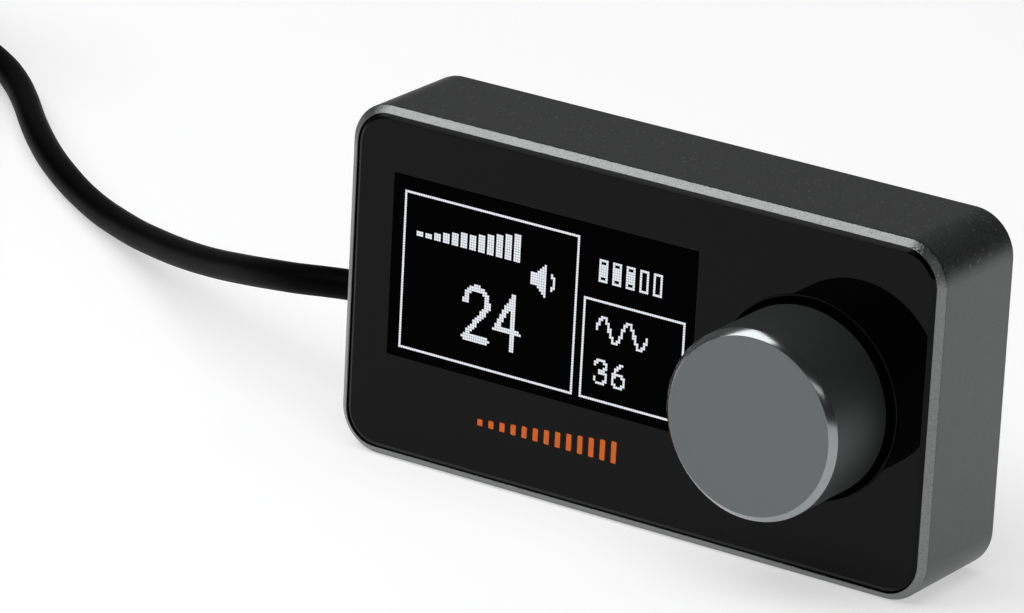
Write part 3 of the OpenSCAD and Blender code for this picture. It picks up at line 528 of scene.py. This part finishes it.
# %% Frames and signs in dots
# Columns and rows are counted from the top left dot
LEFT_FRAME, RIGHT_FRAME = (0, 0, 78, 62), (82, 23, 126, 62)
RAMP_BARS, RAMP_LEFT, RAMP_STEP, RAMP_BASE, RAMP_RISE = 12, 6, 4, 16, 9
SPEAKER_X, SPEAKER_Y, SPEAKER_CONE = 58, 21, 4
SOUND_R, SOUND_TURN, SOUND_THICK = 5, 40, 1.1
WAVE_LEFT, WAVE_Y, WAVE_HIGH, WAVE_LONG, WAVE_THICK = 88, 33.5, 4.5, 22, 1.4
BARS, BARS_FULL, BAR_LEFT, BAR_STEP, BAR_TOP, BAR_LOW = 5, 3, 88, 6, 7, 15

light_frame(*LEFT_FRAME)
light_frame(*RIGHT_FRAME)
for k in range(RAMP_BARS):
    column = RAMP_LEFT + RAMP_STEP * k
    light_block(column, RAMP_BASE - 1 - RAMP_RISE * k // (RAMP_BARS - 1), column + 2, RAMP_BASE)
light_block(SPEAKER_X, SPEAKER_Y - 2, SPEAKER_X + 2, SPEAKER_Y + 2)
for k in range(3, 3 + SPEAKER_CONE):
    light_block(SPEAKER_X + k, SPEAKER_Y - k, SPEAKER_X + k, SPEAKER_Y + k)
light_stroke(arc(SPEAKER_X + 5, SPEAKER_Y, SOUND_R, SOUND_R, -SOUND_TURN, SOUND_TURN), SOUND_THICK)
wave = [math.sin(2 * math.pi * x / WAVE_LONG) for x in range(2 * WAVE_LONG + 1)]
light_stroke([(WAVE_LEFT + x / 2, WAVE_Y - WAVE_HIGH * swing) for x, swing in enumerate(wave)], WAVE_THICK)
for k in range(BARS):
    column = BAR_LEFT + BAR_STEP * k
    light_frame(column, BAR_TOP, column + 3, BAR_LOW)
    if k < BARS_FULL:
        light_block(column + 1, BAR_TOP + 2, column + 2, BAR_LOW - 2)
print("lit dots:", len(lit))

# %% Dot tiles
DOT_PITCH = 0.2725
DOT_SIZE = 0.238
DOT_RISE, DOT_BEVEL = 0.01, 0.01
GRID_LEFT, GRID_TOP = -28.44, 29.72
bpy.ops.object.select_all(action="DESELECT")
bpy.ops.mesh.primitive_plane_add(size=DOT_SIZE * MM, rotation=FACE_FRONT)
one_dot = named("one_dot")
bpy.ops.object.mode_set(mode="EDIT")
bpy.ops.mesh.select_all(action="SELECT")
push(y=-DOT_RISE / 2)
step_in(DOT_BEVEL, DOT_RISE / 2)
bpy.ops.object.mode_set(mode="OBJECT")

tiles = bmesh.new()
for column, row in sorted(lit):
    first = len(tiles.verts)
    tiles.from_mesh(one_dot.data)
    tiles.verts.ensure_lookup_table()
    across, down = (column + 0.5) * DOT_PITCH, (row + 0.5) * DOT_PITCH
    place = Vector((GRID_LEFT + across, w_low.y, GRID_TOP - down)) * MM
    bmesh.ops.translate(tiles, verts=tiles.verts[first:], vec=place)
dots_mesh = bpy.data.meshes.new("display_dots")
tiles.to_mesh(dots_mesh)
tiles.free()
bpy.data.objects.remove(one_dot)
display_dots = bpy.data.objects.new("display_dots", dots_mesh)
bpy.context.scene.collection.objects.link(display_dots)
settle(display_dots, HOME, None)

# %% [markdown]
# The printed scale
# Below the display the panel carries a small orange print. It is drawn here as a plain rising scale, printed
# as a skin of paint a hundredth of a millimetre thick.

# %% Printed scale
TICKS = 13
TICK_W, TICK_CORNER = 0.62, 0.12
TICK_LOW, TICK_HIGH = 0.7, 2.35
TICK_RISE = 0.012
SCALE_LEFT, SCALE_RIGHT, SCALE_BASE = -18.2, -1.2, 6.45
ticks = []
for k in range(TICKS):
    share = k / (TICKS - 1)
    tall = TICK_LOW + (TICK_HIGH - TICK_LOW) * share
    x = SCALE_LEFT + TICK_W / 2 + (SCALE_RIGHT - SCALE_LEFT - TICK_W) * share
    tick = rounded_plane("tick", (x, p_low.y, SCALE_BASE + tall / 2), (TICK_W, tall), TICK_CORNER)
    push(y=-TICK_RISE)
    bpy.ops.object.mode_set(mode="OBJECT")
    ticks.append(tick)
bpy.ops.object.select_all(action="DESELECT")
for tick in ticks:
    tick.select_set(True)
bpy.context.view_layer.objects.active = ticks[0]
bpy.ops.object.join()
printed_scale = bpy.context.object
printed_scale.name = "printed_scale"
settle(printed_scale, HOME, None)

# %% [markdown]
# The knob
# The knob is a turned aluminium cup: a satin face, a side of the same satin in a darker tone that paints
# the shade on it, and a polished bevel between them that catches the light. A lathe profile could be spun,
# but a circle that is extruded and inset is the same shape with fewer steps, and the bevel's faces are easy
# to find again for their own finish.

# %% Knob
KNOB_EDGE = 0.66
KNOB_WALL, KNOB_FACE_T = 1.3, 1.6
KNOB_ROUND = 0.05
KNOB_L = k_high.y - k_low.y
knob_cap = disc("knob_turned", (KNOB_X, k_high.y, KNOB_Z), KNOB_R)
push(y=-(KNOB_L - KNOB_EDGE))
step_in(KNOB_EDGE, KNOB_EDGE)
pick_end(knob_cap, k_high.y)
step_in(KNOB_WALL)
push(y=-(KNOB_L - KNOB_FACE_T))
soften(knob_cap, KNOB_ROUND)
settle(knob_cap, "knob", "knob_metal", "knob_cap")

# %% [markdown]
# The rear cover and its screws
# A flat plate closes the back, held by four countersunk screws. The CAD screws already have their cross
# recess, so they stay; the plate is rebuilt to give its edge and its countersinks a small round. Each cone
# that cuts a countersink starts a little outside the plate, because a boolean is cleanest when no two faces
# lie in one plane.

# %% Rear cover
SCREW_INSET = 4.6
SCREW_HOLE_D, SINK_D, SINK_DEPTH = 2.2, 4.4, 1
SINK_OVER, SINK_REACH = 0.1, 2
SINK_SLOPE = (SINK_D - SCREW_HOLE_D) / 2 / SINK_DEPTH
SINK_MOUTH = SINK_D / 2 + SINK_SLOPE * SINK_OVER
COVER_ROUND = 0.075
c_low, c_high = (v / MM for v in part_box("rear_cover"))
rear_cover = rounded_plane(
    "rear_plate", (BODY_MID.x, c_high.y, BODY_MID.z), (c_high.x - c_low.x, c_high.z - c_low.z),
    CORNER_R - (c_low.x - low.x))
push(y=-(c_high.y - c_low.y))
close_up()
for x in (low.x + SCREW_INSET, high.x - SCREW_INSET):
    for z in (low.z + SCREW_INSET, high.z - SCREW_INSET):
        sink = disc("sink", (x, c_high.y + SINK_OVER, z), SINK_MOUTH, steps=HOLE_STEPS)
        step_in(SINK_MOUTH - SCREW_HOLE_D / 2, SINK_DEPTH + SINK_OVER)
        push(y=-SINK_REACH)
        close_up()
        cut(rear_cover, sink)
only(rear_cover)
bpy.ops.object.mode_set(mode="EDIT")
soften(rear_cover, COVER_ROUND)
settle(rear_cover, HOME, "housing_metal", "rear_cover")

# %% [markdown]
# The grommet, the plug and the tie
# A rubber grommet lines the cable's hole. At its far end the cable has a small round plug: a ribbed rubber
# grip and a metal shell around the pins. The pins and their insert stay as CAD nodes. A plastic tie holds
# the coil. All of them are outlines that are pushed and inset again, like the pieces above.

# %% Grommet
GLAND_FLANGE_D, GLAND_BORE_D = 7, 3.4
GLAND_LIP, LIP_STRAIGHT = 1.5, 0.6
GLAND_BEVEL, GLAND_FIT = 0.6, 0.05
RUBBER_ROUND, GLAND_ROUND_STEPS = 0.12, 3
g_low, g_high = (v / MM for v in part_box("cable_gland"))
cable_grommet = disc(
    "cable_grommet", (low.x, EXIT.y, EXIT.z), GLAND_FLANGE_D / 2, FACE_LEFT, SMALL_ROUND_STEPS)
push(x=-GLAND_LIP * LIP_STRAIGHT)
step_in(GLAND_BEVEL, GLAND_LIP * (1 - LIP_STRAIGHT))
step_in((GLAND_FLANGE_D - GLAND_BORE_D) / 2 - GLAND_BEVEL)
push(x=g_high.x - g_low.x)
open_face()
pick_end(cable_grommet, low.x, axis=0)
step_in((GLAND_FLANGE_D - GLAND_HOLE_D) / 2 + GLAND_FIT)
push(x=g_high.x - low.x)
step_in((GLAND_HOLE_D - GLAND_BORE_D) / 2 - GLAND_FIT)
open_face()
soften(cable_grommet, RUBBER_ROUND, GLAND_ROUND_STEPS)
settle(cable_grommet, HOME, "black_rubber", "cable_gland")

# %% Plug grip
GRIP_D, GRIP_L = 9.4, 17
NECK_D, NECK_END_D = CABLE_D + 2, CABLE_D + 3
NECK_SHARE, TAPER_SHARE = 0.3, 0.12
RIBS, RIB_DEPTH, RIB_W = 4, 0.4, 0.8
RIB_FIRST, RIB_STEP = 0.58, 0.1


def plug_disc(name, along, diameter):
    """A circle on the plug's axis, at a distance along the plug."""
    return disc(name, (PLUG_X, PLUG_Y - along, PLUG_Z), diameter / 2, steps=SMALL_ROUND_STEPS)


def widen(old, new):
    """Scales the selected face from one diameter to another."""
    bpy.ops.transform.resize(value=(new / old, 1, new / old))


plug_grip = plug_disc("plug_sleeve", 0, NECK_D)
push(y=-NECK_SHARE * GRIP_L)
widen(NECK_D, NECK_END_D)
push(y=-TAPER_SHARE * GRIP_L)
widen(NECK_END_D, GRIP_D)
along = (NECK_SHARE + TAPER_SHARE) * GRIP_L
for k in range(RIBS):
    start = GRIP_L * (RIB_FIRST + RIB_STEP * k)
    push(y=-(start - along))
    step_in(RIB_DEPTH)
    push(y=-RIB_W)
    push()
    widen(GRIP_D - 2 * RIB_DEPTH, GRIP_D)
    along = start + RIB_W
push(y=-(GRIP_L - along))
soften(plug_grip, RUBBER_ROUND)
settle(plug_grip, HOME, "black_rubber", "plug_grip")

# %% Plug shell
SHELL_D, SHELL_L, SHELL_WALL = 8.8, 8, 0.4
SHELL_ROUND = 0.08
plug_shell = plug_disc("plug_collar", GRIP_L, SHELL_D)
push(y=-SHELL_L)
step_in(SHELL_WALL)
push(y=SHELL_L)
open_face()
pick_end(plug_shell, PLUG_Y - GRIP_L)
step_in(SHELL_WALL)
open_face()
soften(plug_shell, SHELL_ROUND)
settle(plug_shell, HOME, "steel", "plug_shell")

# %% Coil tie
TIE_ANGLE = math.radians(135)
TIE_W, TIE_T, TIE_FIT, TIE_SEAT = 3, 0.7, 0.5, 0.3
TIE_ROUND, HEAD_ROUND = 0.12, 0.1
HEAD_L, HEAD_CORNER, HEAD_RIM, HEAD_SLOT = 3, 0.4, 0.25, 0.4
tie_in = COIL_IN_R - CABLE_D / 2 - TIE_FIT
tie_out = COIL_OUT_R + CABLE_D / 2 + TIE_FIT
tie_mid = (tie_in + tie_out) / 2
tie_top = COIL_HIGH_Z + CABLE_D / 2 + TIE_SEAT + TIE_T
coil_tie = rounded_plane(
    "tie_strap", (tie_mid, TIE_W / 2, tie_top / 2), (tie_out - tie_in + 2 * TIE_T, tie_top), 2 * TIE_T)
push(y=-TIE_W)
step_in(TIE_T)
push(y=TIE_W)
open_face()
pick_end(coil_tie, TIE_W / 2)
step_in(TIE_T)
open_face()
soften(coil_tie, TIE_ROUND)
tie_head = rounded_plane(
    "tie_head", (tie_mid, TIE_W / 2, tie_top + TIE_T), (HEAD_L, 2 * TIE_T), HEAD_CORNER)
push(y=-TIE_W)
step_in(HEAD_RIM)
push(y=HEAD_SLOT)
soften(tie_head, HEAD_ROUND)
only(coil_tie)
tie_head.select_set(True)
bpy.ops.object.join()
to_coil = Matrix.Translation(Vector((COIL_X, COIL_Y, 0)) * MM)
coil_tie.matrix_world = to_coil @ Matrix.Rotation(TIE_ANGLE, 4, "Z")
only(coil_tie)
bpy.ops.object.transform_apply(location=True, rotation=True, scale=True)
settle(coil_tie, HOME, "black_plastic", "coil_tie")

# %% [markdown]
# Shared surface effects
# Blasted metal, moulded plastic and rubber all have a fine grain that breaks up colour and gloss. One node
# group makes that grain from two sizes of noise on the object's own coordinates, so every finish can place
# it with its own scale. It gives a value to mix colours and a height for a Bump node. Blasting also leaves
# single pits, and a share of the cells of a Voronoi texture comes out as specks; a finish that colours them
# lighter paints glints with them.


# %% Node helpers
def new_group(name, inputs, outputs):
    """A shader node group with float inputs and outputs, and its input and output nodes."""
    group = bpy.data.node_groups.new(name, "ShaderNodeTree")
    for label, value in inputs.items():
        socket = group.interface.new_socket(label, in_out="INPUT", socket_type="NodeSocketFloat")
        socket.default_value = value
    for label in outputs:
        group.interface.new_socket(label, in_out="OUTPUT", socket_type="NodeSocketFloat")
    return group, group.nodes.new("NodeGroupInput"), group.nodes.new("NodeGroupOutput")


def math_node(tree, kind, a, b):
    """A Math node; each operand is a number or a socket."""
    node = tree.nodes.new("ShaderNodeMath")
    node.operation = kind
    for k, value in enumerate((a, b)):
        if isinstance(value, (int, float)):
            node.inputs[k].default_value = value
        else:
            tree.links.new(value, node.inputs[k])
    return node.outputs[0]


def colour_mix(tree, factor, a, b):
    """A Mix node between two colours; each is a colour or a socket."""
    node = tree.nodes.new("ShaderNodeMix")
    node.data_type = "RGBA"
    tree.links.new(factor, node.inputs["Factor"])
    for label, value in (("A", a), ("B", b)):
        if isinstance(value, tuple):
            node.inputs[label].default_value = (*value, 1)
        else:
            tree.links.new(value, node.inputs[label])
    return node.outputs["Result"]


# %% Grain group
GRAIN_SCALE, COARSE_SHARE, SPECK_SHARE = 5000.0, 0.35, 0.08
FINE_DETAIL, COARSE_DETAIL = 3, 2
FINE_RATE, COARSE_RATE, CELL_RATE = 1.0, 0.13, 0.6
SPECK_R = 0.45
grain, grain_in, grain_out = new_group(
    "surface_grain",
    {"Scale": GRAIN_SCALE, "Coarse Share": COARSE_SHARE, "Speck Share": SPECK_SHARE},
    ["Value", "Height", "Specks"])
where = grain.nodes.new("ShaderNodeTexCoord").outputs["Object"]
fine = grain.nodes.new("ShaderNodeTexNoise")
fine.inputs["Detail"].default_value = FINE_DETAIL
coarse = grain.nodes.new("ShaderNodeTexNoise")
coarse.inputs["Detail"].default_value = COARSE_DETAIL
cells = grain.nodes.new("ShaderNodeTexVoronoi")
for texture, rate in ((fine, FINE_RATE), (coarse, COARSE_RATE), (cells, CELL_RATE)):
    scale = math_node(grain, "MULTIPLY", grain_in.outputs["Scale"], rate)
    grain.links.new(where, texture.inputs["Vector"])
    grain.links.new(scale, texture.inputs["Scale"])
coarse_part = math_node(grain, "MULTIPLY", coarse.outputs["Fac"], grain_in.outputs["Coarse Share"])
fine_share = math_node(grain, "SUBTRACT", 1.0, grain_in.outputs["Coarse Share"])
fine_part = math_node(grain, "MULTIPLY", fine.outputs["Fac"], fine_share)
mixed = math_node(grain, "ADD", coarse_part, fine_part)
grain.links.new(mixed, grain_out.inputs["Value"])
grain.links.new(fine.outputs["Fac"], grain_out.inputs["Height"])
draw = grain.nodes.new("ShaderNodeSeparateColor")
grain.links.new(cells.outputs["Color"], draw.inputs["Color"])
chosen = math_node(grain, "LESS_THAN", draw.outputs["Red"], grain_in.outputs["Speck Share"])
inside = math_node(grain, "LESS_THAN", cells.outputs["Distance"], SPECK_R)
grain.links.new(math_node(grain, "MULTIPLY", chosen, inside), grain_out.inputs["Specks"])
print("grain group nodes:", len(grain.nodes))

# %% [markdown]
# The finishes
# Every finish is a Principled shader with the grain group: the grain mixes two tones of the colour, moves
# the roughness a little and dents the normal. What differs is written in one call for each finish. Numbers
# that are the same all over a surface sit on the shader's own sockets.

# %% Finish builder
GRAIN_LOW, GRAIN_HIGH = 0.3, 0.7


def new_material(name):
    """A material with nodes, its node tree and its shader."""
    material = bpy.data.materials.new(name)
    material.use_nodes = True
    return material, material.node_tree, material.node_tree.nodes["Principled BSDF"]


def place_grain(tree, scale):
    """The grain group in a material, with its scale."""
    placed = tree.nodes.new("ShaderNodeGroup")
    placed.node_tree = grain
    placed.inputs["Scale"].default_value = scale
    return placed


def finish(
        name, dark, light, rough, scale=GRAIN_SCALE, coarse=COARSE_SHARE, bump=0.0, specks=None, share=0.0,
        **fixed):
    """A grained finish between two tones and two roughnesses, with a share of specks of a third tone."""
    material, tree, shader = new_material(name)
    placed = place_grain(tree, scale)
    placed.inputs["Coarse Share"].default_value = coarse
    spread = tree.nodes.new("ShaderNodeMapRange")
    spread.inputs["From Min"].default_value = GRAIN_LOW
    spread.inputs["From Max"].default_value = GRAIN_HIGH
    tree.links.new(placed.outputs["Value"], spread.inputs["Value"])
    colour = colour_mix(tree, spread.outputs["Result"], dark, light)
    # Specks in a lighter tone are painted glints
    if specks:
        placed.inputs["Speck Share"].default_value = share
        colour = colour_mix(tree, placed.outputs["Specks"], colour, specks)
    tree.links.new(colour, shader.inputs["Base Color"])
    gloss = tree.nodes.new("ShaderNodeMapRange")
    gloss.inputs["To Min"].default_value = rough[0]
    gloss.inputs["To Max"].default_value = rough[1]
    tree.links.new(spread.outputs["Result"], gloss.inputs["Value"])
    tree.links.new(gloss.outputs["Result"], shader.inputs["Roughness"])
    if bump:
        dent = tree.nodes.new("ShaderNodeBump")
        dent.inputs["Distance"].default_value = bump * MM
        tree.links.new(placed.outputs["Height"], dent.inputs["Height"])
        tree.links.new(dent.outputs["Normal"], shader.inputs["Normal"])
    for socket, value in fixed.items():
        shader.inputs[socket.replace("_", " ")].default_value = value
    return material


def grey(value):
    """A neutral colour."""
    return (value, value, value)


# %% Finishes of the metal
blasted_metal = finish(
    "blasted_metal", (0.087, 0.0895, 0.0895), (0.131, 0.1345, 0.1345), (0.36, 0.46), scale=4000,
    coarse=0.25, bump=0.012, Metallic=1)
# Dust on the housing's upper side; its lighter specks are painted glints
dust_and_glint_metal = finish(
    "dust_and_glint_metal", (0.067, 0.069, 0.069), (0.149, 0.153, 0.153), (0.34, 0.48), scale=4400, coarse=0.3,
    bump=0.016, specks=(0.19, 0.194, 0.194), share=0.08, Metallic=1)
rim_metal = finish(
    "rim_metal", (0.168, 0.171, 0.171), (0.228, 0.232, 0.232), (0.26, 0.36), scale=4000, coarse=0.1,
    bump=0.05, Metallic=1)
knob_satin = finish(
    "knob_satin", (0.159, 0.1735, 0.1735), (0.173, 0.188, 0.188), (0.42, 0.48), scale=9000, coarse=0.3,
    bump=0.001, Metallic=1)
# The knob's satin in a darker tone, which paints the shade on its side
knob_side_shade = finish(
    "knob_side_shade", (0.112, 0.12, 0.12), (0.126, 0.134, 0.134), (0.46, 0.52), scale=9000, coarse=0.3,
    bump=0.001, Metallic=0.82, Specular_Tint=(0.5, 0.5, 0.5, 1))
knob_polished = finish(
    "knob_polished", (0.28, 0.295, 0.295), (0.31, 0.325, 0.325), (0.15, 0.2), scale=6000, bump=0.0003,
    Metallic=1)
dark_steel = finish(
    "dark_steel", grey(0.03), grey(0.045), (0.3, 0.4), scale=5000, bump=0.001, Metallic=1)
plated_steel = finish(
    "plated_steel", grey(0.47), grey(0.51), (0.23, 0.27), scale=2500, bump=0.0002, Metallic=1)
plated_brass = finish(
    "plated_brass", (0.56, 0.38, 0.13), (0.66, 0.47, 0.19), (0.2, 0.3), scale=2500, Metallic=1)
print("materials so far:", len(bpy.data.materials))

# %% Finishes of the front and the cable
panel_gloss = finish(
    "panel_gloss", grey(0.0003), grey(0.0006), (0.02, 0.035), scale=300, coarse=0.5,
    Specular_IOR_Level=0.125)
panel_edge = finish(
    "panel_edge", grey(0.0003), grey(0.0006), (0.18, 0.24), scale=300, coarse=0.5, Specular_IOR_Level=0.2)
# The well's cut edge: matt, and lighter grey than the plate, partly its own colour and partly a painted
# highlight
panel_cut_highlight = finish(
    "panel_cut_highlight", grey(0.02), grey(0.028), (0.5, 0.6), scale=3000, Specular_IOR_Level=0.2)
well_black = finish(
    "well_black", grey(0.0004), grey(0.0008), (0.8, 0.95), scale=3000, Specular_IOR_Level=0.02)
window_black = finish(
    "window_black", grey(0.0002), grey(0.0004), (0.08, 0.12), scale=400, Specular_IOR_Level=0.008)
orange_print = finish(
    "orange_print", (0.94, 0.155, 0.003), (1, 0.185, 0.005), (0.4, 0.5), scale=3000, bump=0.001,
    Specular_IOR_Level=0.45)
cable_jacket = finish(
    "cable_jacket", grey(0.0008), grey(0.0014), (0.4, 0.5), scale=3500, bump=0.002,
    Specular_IOR_Level=0.02)
moulded_rubber = finish(
    "moulded_rubber", grey(0.008), grey(0.012), (0.6, 0.75), scale=3500, bump=0.004,
    Specular_IOR_Level=0.3)
black_plastic = finish(
    "black_plastic", grey(0.012), grey(0.018), (0.42, 0.52), scale=3000, bump=0.002)
print("materials so far:", len(bpy.data.materials))

# %% Light of the dots
LIT_SCALE = 900
LIT_BLUE, LIT_WHITE = (0.72, 0.8, 0.92), (1, 1, 1)
lit_white, lit_tree, lit_shader = new_material("lit_white")
lit_grain = place_grain(lit_tree, LIT_SCALE)
glow = colour_mix(lit_tree, lit_grain.outputs["Value"], LIT_BLUE, LIT_WHITE)
lit_tree.links.new(glow, lit_shader.inputs["Emission Color"])
lit_shader.inputs["Emission Strength"].default_value = 1
lit_shader.inputs["Base Color"].default_value = (0, 0, 0, 1)
lit_shader.inputs["Specular IOR Level"].default_value = 0
print("lit_white nodes:", len(lit_tree.nodes))

# %% Finishes of the inside
foam = finish("foam", grey(0.03), grey(0.07), (0.8, 0.95), scale=2500, bump=0.02)
nylon = finish("nylon", (0.62, 0.58, 0.48), (0.72, 0.68, 0.58), (0.4, 0.5), scale=1500)
amber_film = finish("amber_film", (0.4, 0.15, 0.015), (0.5, 0.2, 0.03), (0.2, 0.3), scale=900)
green_board = finish(
    "green_board", (0.012, 0.085, 0.03), (0.02, 0.115, 0.045), (0.3, 0.45), scale=1800, bump=0.003)
chip_black = finish("chip_black", grey(0.015), grey(0.025), (0.5, 0.65), scale=4000, bump=0.003)
ceramic = finish("ceramic", (0.34, 0.22, 0.11), (0.44, 0.3, 0.17), (0.45, 0.6), scale=3000)
cell_glass = finish("cell_glass", (0.02, 0.024, 0.03), (0.03, 0.036, 0.044), (0.04, 0.08), scale=500)
film_grey = finish("film_grey", grey(0.015), grey(0.022), (0.1, 0.2), scale=700)
lead_jackets = finish("lead_jackets", (0.16, 0.04, 0.04), (0.24, 0.06, 0.05), (0.4, 0.5), scale=2500)
print("materials so far:", len(bpy.data.materials))

# %% [markdown]
# Giving out the finishes
# New pieces take their finish directly. On the housing, the panel and the knob the bevel has a finish of its
# own, and its faces are found by their normals; the panel's well and the well's mouth are found by their
# place. The panel's right bevel stays as glossy as its front, and hardly shows. A little dust lies on the
# housing's upper side, and its lighter specks are painted glints. The CAD nodes inside keep their shapes and
# only change their material.


# %% Finishes on new pieces
def dress(obj, *materials):
    """Gives a piece its materials, in the order of its slots."""
    obj.data.materials.clear()
    for material in materials:
        obj.data.materials.append(material)


dress(cable_run, cable_jacket)
dress(housing_shell, blasted_metal, rim_metal, dust_and_glint_metal)
dress(front_panel, panel_gloss, panel_edge, well_black, panel_cut_highlight)
dress(display_pane, window_black)
dress(display_dots, lit_white)
dress(printed_scale, orange_print)
dress(knob_cap, knob_satin, knob_polished, knob_side_shade)
dress(rear_cover, blasted_metal)
dress(cable_grommet, moulded_rubber)
dress(plug_grip, moulded_rubber)
dress(plug_shell, plated_steel)
dress(coil_tie, black_plastic)
print("slots on the panel:", len(front_panel.data.materials))

# %% Finishes by place
# A lean is the range of how far forward a bevel's normals point
RIM_LEAN, KNOB_LEAN, PANEL_LEAN, CUT_HIGHLIGHT_LEAN = (0.35, 0.95), (0.1, 0.95), (0.5, 0.97), (0.85, 0.98)
# Faces that point up more than this take the dust with its painted glints
DUST_AND_GLINT_UP = 0.3
RIGHT_SIDE = 0.15
WELL_OVER = 0.02


def leans(face, lean):
    """True for a face that points forward by a share between the two."""
    return lean[0] < -face.normal.y < lean[1]


BLASTED, RIM, DUST_AND_GLINT = range(3)
for face in housing_shell.data.polygons:
    on_rim = leans(face, RIM_LEAN) and face.center.y < (FRONT_Y + RIM_D) * MM
    face.material_index = RIM if on_rim else DUST_AND_GLINT if face.normal.z > DUST_AND_GLINT_UP else BLASTED
GLOSS, EDGE, WELL, CUT_HIGHLIGHT = range(4)
for face in front_panel.data.polygons:
    out = face.center / MM - WELL_MOUTH
    far = math.hypot(out.x, out.z)
    if far < WELL_R + WELL_OVER and out.y > WELL_EDGE_R:
        face.material_index = WELL
    elif far < WELL_R + WELL_EDGE_R:
        face.material_index = CUT_HIGHLIGHT if leans(face, CUT_HIGHLIGHT_LEAN) else GLOSS
    else:
        on_edge = leans(face, PANEL_LEAN) and face.normal.x < RIGHT_SIDE
        face.material_index = EDGE if on_edge else GLOSS
# The knob's side takes the darker satin that paints its shade
SATIN, POLISHED, SIDE_SHADE = range(3)
for face in knob_cap.data.polygons:
    on_face = -face.normal.y > KNOB_LEAN[1]
    face.material_index = POLISHED if leans(face, KNOB_LEAN) else SATIN if on_face else SIDE_SHADE
print("polished faces:", sum(face.material_index == POLISHED for face in knob_cap.data.polygons))

# %% Finishes on CAD nodes
NODE_FINISH = {
    foam: ["panel_tape", "display_gasket", "display_pad"],
    film_grey: ["display_polariser"],
    cell_glass: ["display_glass"],
    black_plastic: ["display_tray", "encoder_base", "switch_cover", "knob_hub", "plug_insert"],
    amber_film: ["display_flex"],
    nylon: ["flex_socket", "cable_header", "cable_socket", "encoder_rotor", "switch_plunger"],
    green_board: ["main_board"],
    chip_black: ["processor", "regulator", "resistors"],
    ceramic: ["capacitors"],
    plated_steel: [
        "board_screws", "crystal", "strain_ring", "encoder_frame", "encoder_bushing", "encoder_washer",
        "encoder_nut", "encoder_shaft", "shaft_clip", "switch_dome"],
    plated_brass: ["encoder_terminals", "detent_spring", "rotor_contact", "contact_plate", "plug_pins"],
    lead_jackets: ["cable_leads"],
    cable_jacket: ["cable_lead_in"],
    dark_steel: ["rear_screws"],
}
for material, names in NODE_FINISH.items():
    for name in names:
        for place in nodes[name].material_slots:
            place.material = material
print("CAD nodes dressed:", sum(len(names) for names in NODE_FINISH.values()))

# %% [markdown]
# Floor and light
# The studio is a white floor under a dim room that is brightest at the back left. The floor shows itself
# brighter than it lights the object, as a white paper sweep with its own lamp would. One soft box up on the
# left makes the bright line along the top bevel. A wide lamp overhead lights floor and object evenly; it is
# hidden from glossy rays, so it doesn't grey the dark metal. A low strip in front, to the right, carries the
# light on round the rim's corner and gives the knob's bevel its second spark.

# %% Floor
FLOOR_SIZE = 30
FLOOR_DROP = 0.05
FLOOR_GREY, FLOOR_ROUGH, FLOOR_LIFT = 0.62, 0.9, 0.5
bpy.ops.object.select_all(action="DESELECT")
bpy.ops.mesh.primitive_plane_add(size=FLOOR_SIZE, location=(0, 0, -FLOOR_DROP * MM))
floor = named("floor")
floor_white, floor_tree, floor_shader = new_material("floor_white")
floor_shader.inputs["Base Color"].default_value = (*grey(FLOOR_GREY), 1)
floor_shader.inputs["Roughness"].default_value = FLOOR_ROUGH
floor_shader.inputs["Specular IOR Level"].default_value = 0
floor_shader.inputs["Emission Color"].default_value = (1, 1, 1, 1)
rays = floor_tree.nodes.new("ShaderNodeLightPath").outputs
seen = math_node(floor_tree, "ADD", rays["Is Camera Ray"], rays["Is Glossy Ray"])
seen = math_node(floor_tree, "ADD", seen, rays["Is Transmission Ray"])
lift = math_node(floor_tree, "MULTIPLY", seen, FLOOR_LIFT)
floor_tree.links.new(lift, floor_shader.inputs["Emission Strength"])
dress(floor, floor_white)
print("floor:", FLOOR_SIZE, "m across")

# %% Lamps
CENTRE = BODY_MID * MM


def area_lamp(name, direction, distance, width, height, radiance, glossy=True):
    """A soft box that faces the object, with the brightness that its surface shows."""
    aim = Vector(direction).normalized()
    bpy.ops.object.select_all(action="DESELECT")
    bpy.ops.object.light_add(type="AREA", location=CENTRE + aim * distance)
    lamp = bpy.context.object
    lamp.name = name
    lamp.rotation_euler = aim.to_track_quat("Z", "Y").to_euler()
    lamp.data.shape = "RECTANGLE"
    lamp.data.size = width
    lamp.data.size_y = height
    lamp.data.energy = radiance * math.pi * width * height
    lamp.visible_camera = False
    lamp.visible_glossy = glossy
    print(name, "power:", round(lamp.data.energy, 2), "W")


area_lamp("soft_box", (-0.51, -0.5, 0.69), distance=0.9, width=0.52, height=0.62, radiance=3.1)
area_lamp("overhead", (0.1, -0.25, 1), distance=1.4, width=1.6, height=1.6, radiance=1.6, glossy=False)
area_lamp("strip", (0.5, -0.7, 0.44), distance=0.9, width=0.5, height=0.12, radiance=1.2)

# %% Room
BRIGHT_SIDE = (-0.6, 0.75, 0)
ROOM_DARK, ROOM_BRIGHT = 0.055, 0.28
world = bpy.context.scene.world or bpy.data.worlds.new("room")
bpy.context.scene.world = world
world.use_nodes = True
room = world.node_tree
lean = room.nodes.new("ShaderNodeVectorMath")
lean.operation = "DOT_PRODUCT"
lean.inputs[1].default_value = BRIGHT_SIDE
room.links.new(room.nodes.new("ShaderNodeTexCoord").outputs["Generated"], lean.inputs[0])
level = room.nodes.new("ShaderNodeMapRange")
level.inputs["To Min"].default_value = ROOM_DARK
level.inputs["To Max"].default_value = ROOM_BRIGHT
room.links.new(lean.outputs["Value"], level.inputs["Value"])
background = room.nodes["Background"]
background.inputs["Color"].default_value = (1, 1, 1, 1)
room.links.new(level.outputs["Result"], background.inputs["Strength"])
bpy.context.scene.view_settings.view_transform = "Standard"
print("room from", ROOM_DARK, "to", ROOM_BRIGHT)
